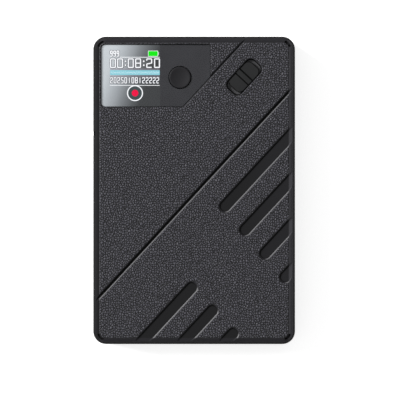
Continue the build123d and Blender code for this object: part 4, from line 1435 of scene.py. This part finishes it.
@dataclass(frozen=True)
class Lettering:
    """One row of figures on the screen, measured from the window's top left corner."""

    text: str
    left: float
    low: float
    width: float
    height: float
    starts: tuple[float, ...]
    line: float
    corner: float

    def strokes(self) -> list[Stroke]:
        """Lays the row out.

        Returns:
            The strokes in millimetres, y counted up from the window's top edge.
        """
        inset = self.line / 2
        wide, high = self.width - self.line, self.height - self.line
        made = []
        for figure, start in zip(self.text, self.starts):
            left, low = self.left + start + inset, self.low + inset
            for stroke in FIGURES[figure]:
                moved = tuple((left + x * wide, low + y * high) for x, y in stroke.points)
                made.append(Stroke(moved, stroke.closed))
        return made


COUNT = Lettering("999", 2.6, -3.5, 0.88, 1.95, (0.0, 1.02, 2.04), 0.34, 0.12)
TIME_STARTS = (0.0, 2.22, 3.9, 5.55, 7.83, 9.6, 11.3, 13.72)
TIME = Lettering("00:08:20", 2.6, -7.0, 1.86, 3.0, TIME_STARTS, 0.36, 0.15)
NUMBER_PITCH = 1.108
NUMBER_STARTS = tuple(k * NUMBER_PITCH for k in range(14))
NUMBER = Lettering("20250108122222", 2.65, -11.8, 0.86, 1.95, NUMBER_STARTS, 0.25, 0.12)


@cache
def ribbon_recipe() -> Recipe:
    """The tree that turns edges into flat ribbons with rounded corners.

    Returns:
        The recipe.
    """
    sizes = {"Line Width": 0.3 * MM, "Line Height": 0.02 * MM, "Corner Radius": 0.2 * MM}
    recipe = Recipe("ribbon", sizes)
    add = recipe.bench.add
    curve = add("GeometryNodeMeshToCurve", None, {0: recipe.geometry()})
    inputs = {
        "Curve": curve.outputs[0],
        "Count": 4,
        "Radius": recipe.size("Corner Radius"),
        "Limit Radius": True,
    }
    rounded = add("GeometryNodeFilletCurve", {"mode": "POLY"}, inputs)
    level = add("GeometryNodeSetCurveNormal", {"mode": "Z_UP"}, {"Curve": rounded.outputs[0]})
    inputs = {"Width": recipe.size("Line Width"), "Height": recipe.size("Line Height")}
    section = add("GeometryNodeCurvePrimitiveQuadrilateral", {"mode": "RECTANGLE"}, inputs)
    inputs = {"Curve": level.outputs[0], "Profile Curve": section.outputs[0], "Fill Caps": True}
    recipe.close(add("GeometryNodeCurveToMesh", None, inputs).outputs[0])
    return recipe


@dataclass
class WindowAndScreen(SubAssembly):
    """The window, what is printed behind it, the screen, and what the screen shows.

    Places on the screen are millimetres from the window's top left corner, y counted up.
    That corner and the window's back are read when it is built, in metres.
    """

    window: str = "display_window"
    left: float = 0.0
    top: float = 0.0
    back: float = 0.0
    screen_width: float = 18.25
    print_low: float = 0.55
    print_high: float = 0.58
    line_height: float = 0.02
    ink_gap: float = 0.012
    shade_width: float = 0.26
    shade_drop: float = 0.01
    drop: float = 0.2
    rules: tuple[Stroke, ...] = (
        Stroke(((5.7, -3.66), (18.1, -3.66))),
        Stroke(((2.6, -12.42), (18.1, -12.42))),
    )
    rule_width: float = 0.17
    soft_rules: tuple[Stroke, ...] = (
        Stroke(((2.6, -7.36), (18.1, -7.36))),
        Stroke(((2.6, -9.5), (18.1, -9.5))),
    )
    soft_rule_width: float = 0.2
    bar: tuple[float, float, float, float] = (2.65, -9.2, 18.1, -7.68)
    wave_span: tuple[float, float, float] = (2.9, 17.9, -8.44)
    wave_step: float = 0.24
    wave_width: float = 0.16
    wave_quiet: float = 0.12
    wave_swell: float = 0.4
    wave_beats: Point = (0.61, 0.17)
    wave_shift: float = 0.4
    charge: tuple[float, float, float, float] = (14.5, -3.38, 17.6, -1.68)
    charge_case: tuple[Stroke, ...] = (
        Stroke(((14.5, -3.38), (17.5, -3.38), (17.5, -1.68), (14.5, -1.68)), True),
        Stroke(((17.75, -2.95), (17.75, -2.1))),
    )
    charge_line: float = 0.12
    charge_corner: float = 0.1
    record: Point = (10.4, -14.83)
    record_well: float = 2.2
    record_ring: float = 2.32
    record_dot: float = 1.03
    ring_width: float = 0.34
    black: Finish = MouldedPlastic(
        "black_print", (0.047, 0.0465, 0.052), 0.5, spark_depth=0.0005, gloss=0.1
    )
    white: Finish = LitInk("white_ink", (0.97, 0.98, 1.0), power=1.1)
    grey: Finish = LitInk("grey_ink", (0.36, 0.33, 0.40), power=0.9)
    cyan: Finish = LitInk("cyan_ink", (0.30, 0.68, 0.77))
    pale: Finish = LitInk("pale_ink", (0.78, 0.95, 1.0))
    green: Finish = LitInk("green_ink", (0.0, 0.9, 0.0))
    red: Finish = LitInk("red_ink", (0.95, 0.0, 0.06))
    teal: Finish = LitInk("teal_ink", (0.07, 0.092, 0.098), power=0.8)
    shade: Finish = LitInk("shade_ink", (0.10, 0.095, 0.12), power=0.8)

    def build(self) -> None:
        """Dresses the window and the screen's stack, and builds what the window shows."""
        self.dress(ClearWindow(), self.window)
        self.dress(MouldedPlastic("screen_glass", (0.03, 0.033, 0.036), 0.1), "display_glass")
        self.dress(MouldedPlastic("diffuser", (0.8, 0.82, 0.83), 0.4), "display_backlight")
        self.dress(MouldedPlastic("amber_flex", (0.5, 0.26, 0.05), 0.3), "display_flex")
        self.dress(BLACK_PLASTIC, "display_bracket")
        self.dress(FOAM, "display_gasket")
        self.dress(TAPE, "window_tape")
        low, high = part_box(self.window)
        self.left, self.top, self.back = low.x, high.y, low.z
        zone = self.left + self.screen_width * MM
        film = PaintedReflectionFilm(left=low.x / MM, middle=(low.y + high.y) / 2 / MM)
        settle(self.layer("window_print", zone, False, self.black))
        settle(self.layer("screen_film", zone, True, film))
        for name, row in {"time": TIME, "number": NUMBER, "count": COUNT}.items():
            self.shaded("screen_" + name, row)
        self.marks()

    def layer(self, name: str, zone: float, left: bool, finish: Finish) -> Piece:
        """A thin layer behind the window, on one side of the screen's edge.

        Args:
            name: The piece's name.
            zone: Where the screen ends, in metres.
            left: Whether the layer is the part left of that edge.
            finish: What it wears.

        Returns:
            The layer.
        """
        work = merged(self.nodes[self.window])
        other = [
            face
            for face in work.faces
            if face.normal.z > -LEVEL or any(abs(v.co.z - self.back) > WELD for v in face.verts)
        ]
        bmesh.ops.delete(work, geom=other, context="FACES")
        bmesh.ops.bisect_plane(
            work,
            geom=[*work.verts, *work.edges, *work.faces],
            plane_co=(zone, 0, 0),
            plane_no=(1, 0, 0),
            clear_outer=left,
            clear_inner=not left,
        )
        for vert in work.verts:
            vert.co.z = self.back + self.print_low * MM
        raised = bmesh.ops.extrude_face_region(work, geom=list(work.faces))["geom"]
        for item in raised:
            if isinstance(item, bmesh.types.BMVert):
                item.co.z = self.back + self.print_high * MM
        bmesh.ops.recalc_face_normals(work, faces=work.faces)
        return finished(name, work, finish)

    def at(self, x: float, y: float) -> Point:
        """A place on the screen, in metres."""
        return self.left + x * MM, self.top + (y - self.drop) * MM

    def ink_level(self, share: float) -> float:
        """The height of a share of the ink's thickness, in metres."""
        return self.back + (self.print_high + self.ink_gap + self.line_height * share) * MM

    def lines(
        self,
        name: str,
        strokes: Sequence[Stroke],
        width: float,
        corner: float,
        ink: Finish,
        drop: float = 0.0,
    ) -> None:
        """Draws strokes as thin ribbons behind the window.

        Args:
            name: The piece's name.
            strokes: The lines, as places on the screen.
            width: The ribbons' width, in millimetres.
            corner: The radius that their corners are rounded to, in millimetres.
            ink: What they wear.
            drop: How far they lie behind the other ink, in millimetres.
        """
        points, edges = [], []
        height = self.ink_level(0.5) - drop * MM
        for stroke in strokes:
            first = len(points)
            points += [(*self.at(x, y), height) for x, y in stroke.points]
            last = len(points) - 1
            edges += [(i, i + 1) for i in range(first, last)]
            if stroke.closed:
                edges.append((last, first))
        mesh = bpy.data.meshes.new(name)
        mesh.from_pydata(points, edges, [])
        sizes = {
            "Line Width": width * MM,
            "Line Height": self.line_height * MM,
            "Corner Radius": corner * MM,
        }
        settle(ribbon_recipe().run(name, mesh, ink.material(), sizes))

    def shaded(self, name: str, row: Lettering) -> None:
        """Draws a row of white figures over their wider dark shade.

        Args:
            name: The white piece's name.
            row: The figures.
        """
        strokes, wide = row.strokes(), row.line + self.shade_width
        self.lines(name, strokes, row.line, row.corner, self.white)
        self.lines(name + "_shade", strokes, wide, row.corner, self.shade, self.shade_drop)

    def patch(
        self, name: str, outline: list[Point], ink: Finish, low: float = 0.0, high: float = 0.5
    ) -> None:
        """Adds a plate of ink that spans two shares of the ink's thickness."""
        placed = [self.at(x, y) for x, y in outline]
        settle(plate(name, placed, self.ink_level(low), self.ink_level(high), ink))

    def wave(self) -> Stroke:
        """The sound's trace along the middle of the bar.

        Returns:
            A zigzag whose height swells and shrinks.
        """
        left, right, middle = self.wave_span
        quick, slow = self.wave_beats
        points = []
        for k in range(int((right - left) / self.wave_step) + 1):
            beat = abs(sin(quick * k) * cos(slow * k + self.wave_shift))
            loud = self.wave_quiet + self.wave_swell * beat
            points.append((left + k * self.wave_step, middle + (loud if k % 2 else -loud)))
        return Stroke(tuple(points))

    def marks(self) -> None:
        """Draws the rules, the bar with its trace, the charge mark and the record mark."""
        self.lines("screen_rules", self.rules, self.rule_width, 0.0, self.white)
        self.lines("screen_soft_rules", self.soft_rules, self.soft_rule_width, 0.0, self.grey)
        self.patch("screen_bar", rectangle(*self.bar), self.cyan)
        self.lines("screen_wave", [self.wave()], self.wave_width, 0.0, self.pale)
        self.patch("screen_charge", rectangle(*self.charge), self.green)
        shape = (self.charge_line, self.charge_corner)
        self.lines("screen_charge_case", self.charge_case, *shape, self.white)
        self.patch("screen_record_well", circle(self.record, self.record_well), self.teal)
        ring = Stroke(tuple(circle(self.record, self.record_ring)), True)
        self.lines("screen_record_ring", [ring], self.ring_width, 0.0, self.white)
        dot = circle(self.record, self.record_dot)
        self.patch("screen_record_dot", dot, self.red, 0.5, 1.0)


# --- Electronics --------------------------------------------------------------------


@cache
def block_recipe() -> Recipe:
    """The tree that puts one block at each point of the start mesh.

    Returns:
        The recipe.
    """
    recipe = Recipe("block_row", {"Block X": 0.3 * MM, "Block Y": 0.3 * MM, "Block Z": 0.1 * MM})
    add = recipe.bench.add
    sides = {axis: recipe.size(f"Block {axis}") for axis in "XYZ"}
    size = add("ShaderNodeCombineXYZ", None, sides)
    block = add("GeometryNodeMeshCube", None, {"Size": size.outputs[0]})
    inputs = {"Points": recipe.geometry(), "Instance": block.outputs[0]}
    recipe.close(add("GeometryNodeInstanceOnPoints", None, inputs).outputs[0])
    return recipe


def block_row(name: str, places: Sequence[Place], size: Place, finish: Finish) -> None:
    """Builds one set of equal blocks.

    Args:
        name: The piece's name.
        places: The blocks' centres, in metres.
        size: Their size, in millimetres.
        finish: What they wear.
    """
    mesh = bpy.data.meshes.new(name)
    mesh.from_pydata(list(places), [], [])
    sizes = {f"Block {axis}": s * MM for axis, s in zip("XYZ", size)}
    settle(block_recipe().run(name, mesh, finish.material(), sizes))


@dataclass
class ChargingPort(SubAssembly):
    """The charging port and the contacts above and below its tongue."""

    contact: Place = (0.25, 3.6, 0.06)
    contact_count: int = 12
    contact_pitch: float = 0.5
    contact_rise: float = 0.35
    contact_setback: float = 0.3

    def build(self) -> None:
        """Dresses the port and adds its contacts."""
        self.dress(BRIGHT_STEEL, "port_shell")
        self.dress(BLACK_PLASTIC, "port_tongue")
        low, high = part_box("port_tongue")
        middle, rise = (low.z + high.z) / 2, self.contact_rise * MM
        y = high.y - (self.contact[1] / 2 + self.contact_setback) * MM
        pitch = self.contact_pitch * MM
        first = -(self.contact_count - 1) / 2 * pitch
        places = [
            (first + k * pitch, y, middle + side * rise)
            for k in range(self.contact_count)
            for side in (-1, 1)
        ]
        block_row("port_contacts", places, self.contact, GOLD)


@dataclass
class MainBoard(SubAssembly):
    """The main board, what is soldered to it, and the legs along its larger chips."""

    leg: Place = (0.8, 0.3, 0.15)
    leg_pitch: float = 0.65
    leg_drop: float = 0.08
    leg_reach: float = 0.2
    legged: tuple[str, ...] = ("flash_memory_chip", "processor_chip", "charging_chip")

    def build(self) -> None:
        """Dresses the board and its parts and adds the legs."""
        self.dress(BoardMask(), "main_board")
        self.dress(SCREW_STEEL, "board_screws")
        self.dress(MouldedPlastic("ceramic", (0.34, 0.27, 0.19), 0.5), "board_passives")
        self.dress(EPOXY, *self.legged)
        self.dress(BRIGHT_STEEL, "clock_crystal", "microphone_capsule")
        mesh = Weave("dust_mesh", (0.02, 0.02, 0.02), cell=0.1, depth=0.05)
        self.dress(mesh, "microphone_mesh")
        self.dress(MouldedPlastic("silicone", (0.015, 0.015, 0.016), 0.65), "microphone_boot")
        for name in self.legged:
            self.legs(name)

    def legs(self, name: str) -> None:
        """Adds the legs along two sides of a chip.

        Args:
            name: The chip's node.
        """
        low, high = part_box(name)
        count = int((high.y - low.y) / MM / self.leg_pitch) - 1
        first = (low.y + high.y) / 2 - (count - 1) / 2 * self.leg_pitch * MM
        out = self.leg_reach * MM
        places = [
            (x, first + k * self.leg_pitch * MM, high.z - self.leg_drop * MM)
            for k in range(count)
            for x in (low.x - out, high.x + out)
        ]
        block_row(name + "_legs", places, self.leg, TIN)


@dataclass
class Battery(SubAssembly):
    """The battery, its guard board, its leads and what holds it."""

    def build(self) -> None:
        """Dresses the battery's nodes."""
        self.dress(Foil(), "battery_cell")
        self.dress(BoardMask(), "battery_guard_board")
        self.dress(FOAM, "battery_foam")
        self.dress(TAPE, "battery_pad")
        self.dress(NYLON, "battery_socket", "battery_plug")
        black = MouldedPlastic("black_sleeve", (0.015, 0.015, 0.015), 0.45)
        self.dress(black, "battery_lead_black")
        self.dress(MouldedPlastic("red_sleeve", (0.5, 0.012, 0.012), 0.45), "battery_lead_red")


# --- Controls -----------------------------------------------------------------------


@dataclass
class Controls(SubAssembly):
    """The press button and the slide switch, with the snap dome that the button flattens."""

    dome: str = "press_switch_dome"
    joint: str = "button_press"
    travel: float = 0.3
    button: Finish = MouldedPlastic("button_plastic", (0.021, 0.0205, 0.0235), 0.55, gloss=0.25)
    knob: Finish = KnobPlastic("knob_plastic", (0.022, 0.0225, 0.0235), 0.6, gloss=0.25)

    def build(self) -> None:
        """Dresses both switches and adds the dome."""
        self.dress(self.button, "record_button")
        self.dress(self.knob, "slide_knob")
        self.dress(TINNED_STEEL, "press_switch_cover", "slide_switch_cover")
        self.dress(BLACK_PLASTIC, "press_switch_base", "press_switch_stem")
        self.dress(BLACK_PLASTIC, "slide_retainer", "slide_switch_base")
        self.dress(NYLON, "slide_switch_lever")
        self.snap_dome()

    def snap_dome(self) -> None:
        """Copies the dome into a smooth piece of its own that rides on the case, and hides the
        node.
        """
        node = self.nodes[self.dome]
        piece = finished("snap_dome", merged(node), BRIGHT_STEEL)
        for polygon in piece.data.polygons:
            polygon.use_smooth = True
        settle(piece)
        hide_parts(self.dome)
        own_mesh(piece)


# --- Studio -------------------------------------------------------------------------


@dataclass(frozen=True)
class Softbox:
    """A rectangular soft light that points at the recorder."""

    name: str
    place: Place
    size: Point
    power: float

    def build(self) -> None:
        """Adds the light."""
        light = bpy.data.lights.new(self.name, "AREA")
        light.shape = "RECTANGLE"
        light.size, light.size_y = self.size
        light.energy = self.power
        piece = bpy.data.objects.new(self.name, light)
        piece.location = self.place
        piece.rotation_euler = (-Vector(self.place)).to_track_quat("-Z", "Y").to_euler()
        bpy.context.scene.collection.objects.link(piece)


@dataclass
class Studio:
    """The floor, the light and the camera."""

    frame_width: float = 129.5
    lens: float = 180.0
    sensor: float = 36.0
    look_at: Point = (4.33, -5.51)
    near: float = 0.01
    far: float = 50.0
    floor_size: float = 6.0
    floor_thickness: float = 0.01
    sky: float = 0.35
    key: Softbox = Softbox("key", (-1.38, 0.58, 0.75), (0.7, 0.5), 34.0)

    def build(self) -> None:
        """Sets up everything round the recorder."""
        half = self.floor_size / 2
        outline = rectangle(-half, -half, half, half)
        plate("floor", outline, -self.floor_thickness, 0.0, Floor())
        self.key.build()
        world = bpy.data.worlds.new("studio")
        world.use_nodes = True
        background = world.node_tree.nodes["Background"]
        background.inputs["Color"].default_value = (1, 1, 1, 1)
        background.inputs["Strength"].default_value = self.sky
        bpy.context.scene.world = world
        bpy.context.scene.view_settings.view_transform = "Standard"
        self.camera()

    def camera(self) -> None:
        """Adds the camera, straight above the face."""
        lens = bpy.data.cameras.new("camera")
        lens.lens, lens.sensor_width = self.lens, self.sensor
        lens.clip_start, lens.clip_end = self.near, self.far
        piece = bpy.data.objects.new("camera", lens)
        height = self.frame_width * MM * self.lens / self.sensor
        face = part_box("front_shell")[1].z
        x, y = (c * MM for c in self.look_at)
        piece.location = (x, y, face + height)
        bpy.context.scene.collection.objects.link(piece)
        bpy.context.scene.camera = piece


PARTS = (FrontShell, RearCase, WindowAndScreen, ChargingPort, MainBoard, Battery, Controls)


def main() -> None:
    """Builds the recorder's looks and its studio."""
    logging.basicConfig(level=logging.INFO, format="%(name)s: %(message)s")
    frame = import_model()
    for part in PARTS:
        part(frame["nodes"]).build()
    Studio().build()


if __name__ == "__main__":
    main()
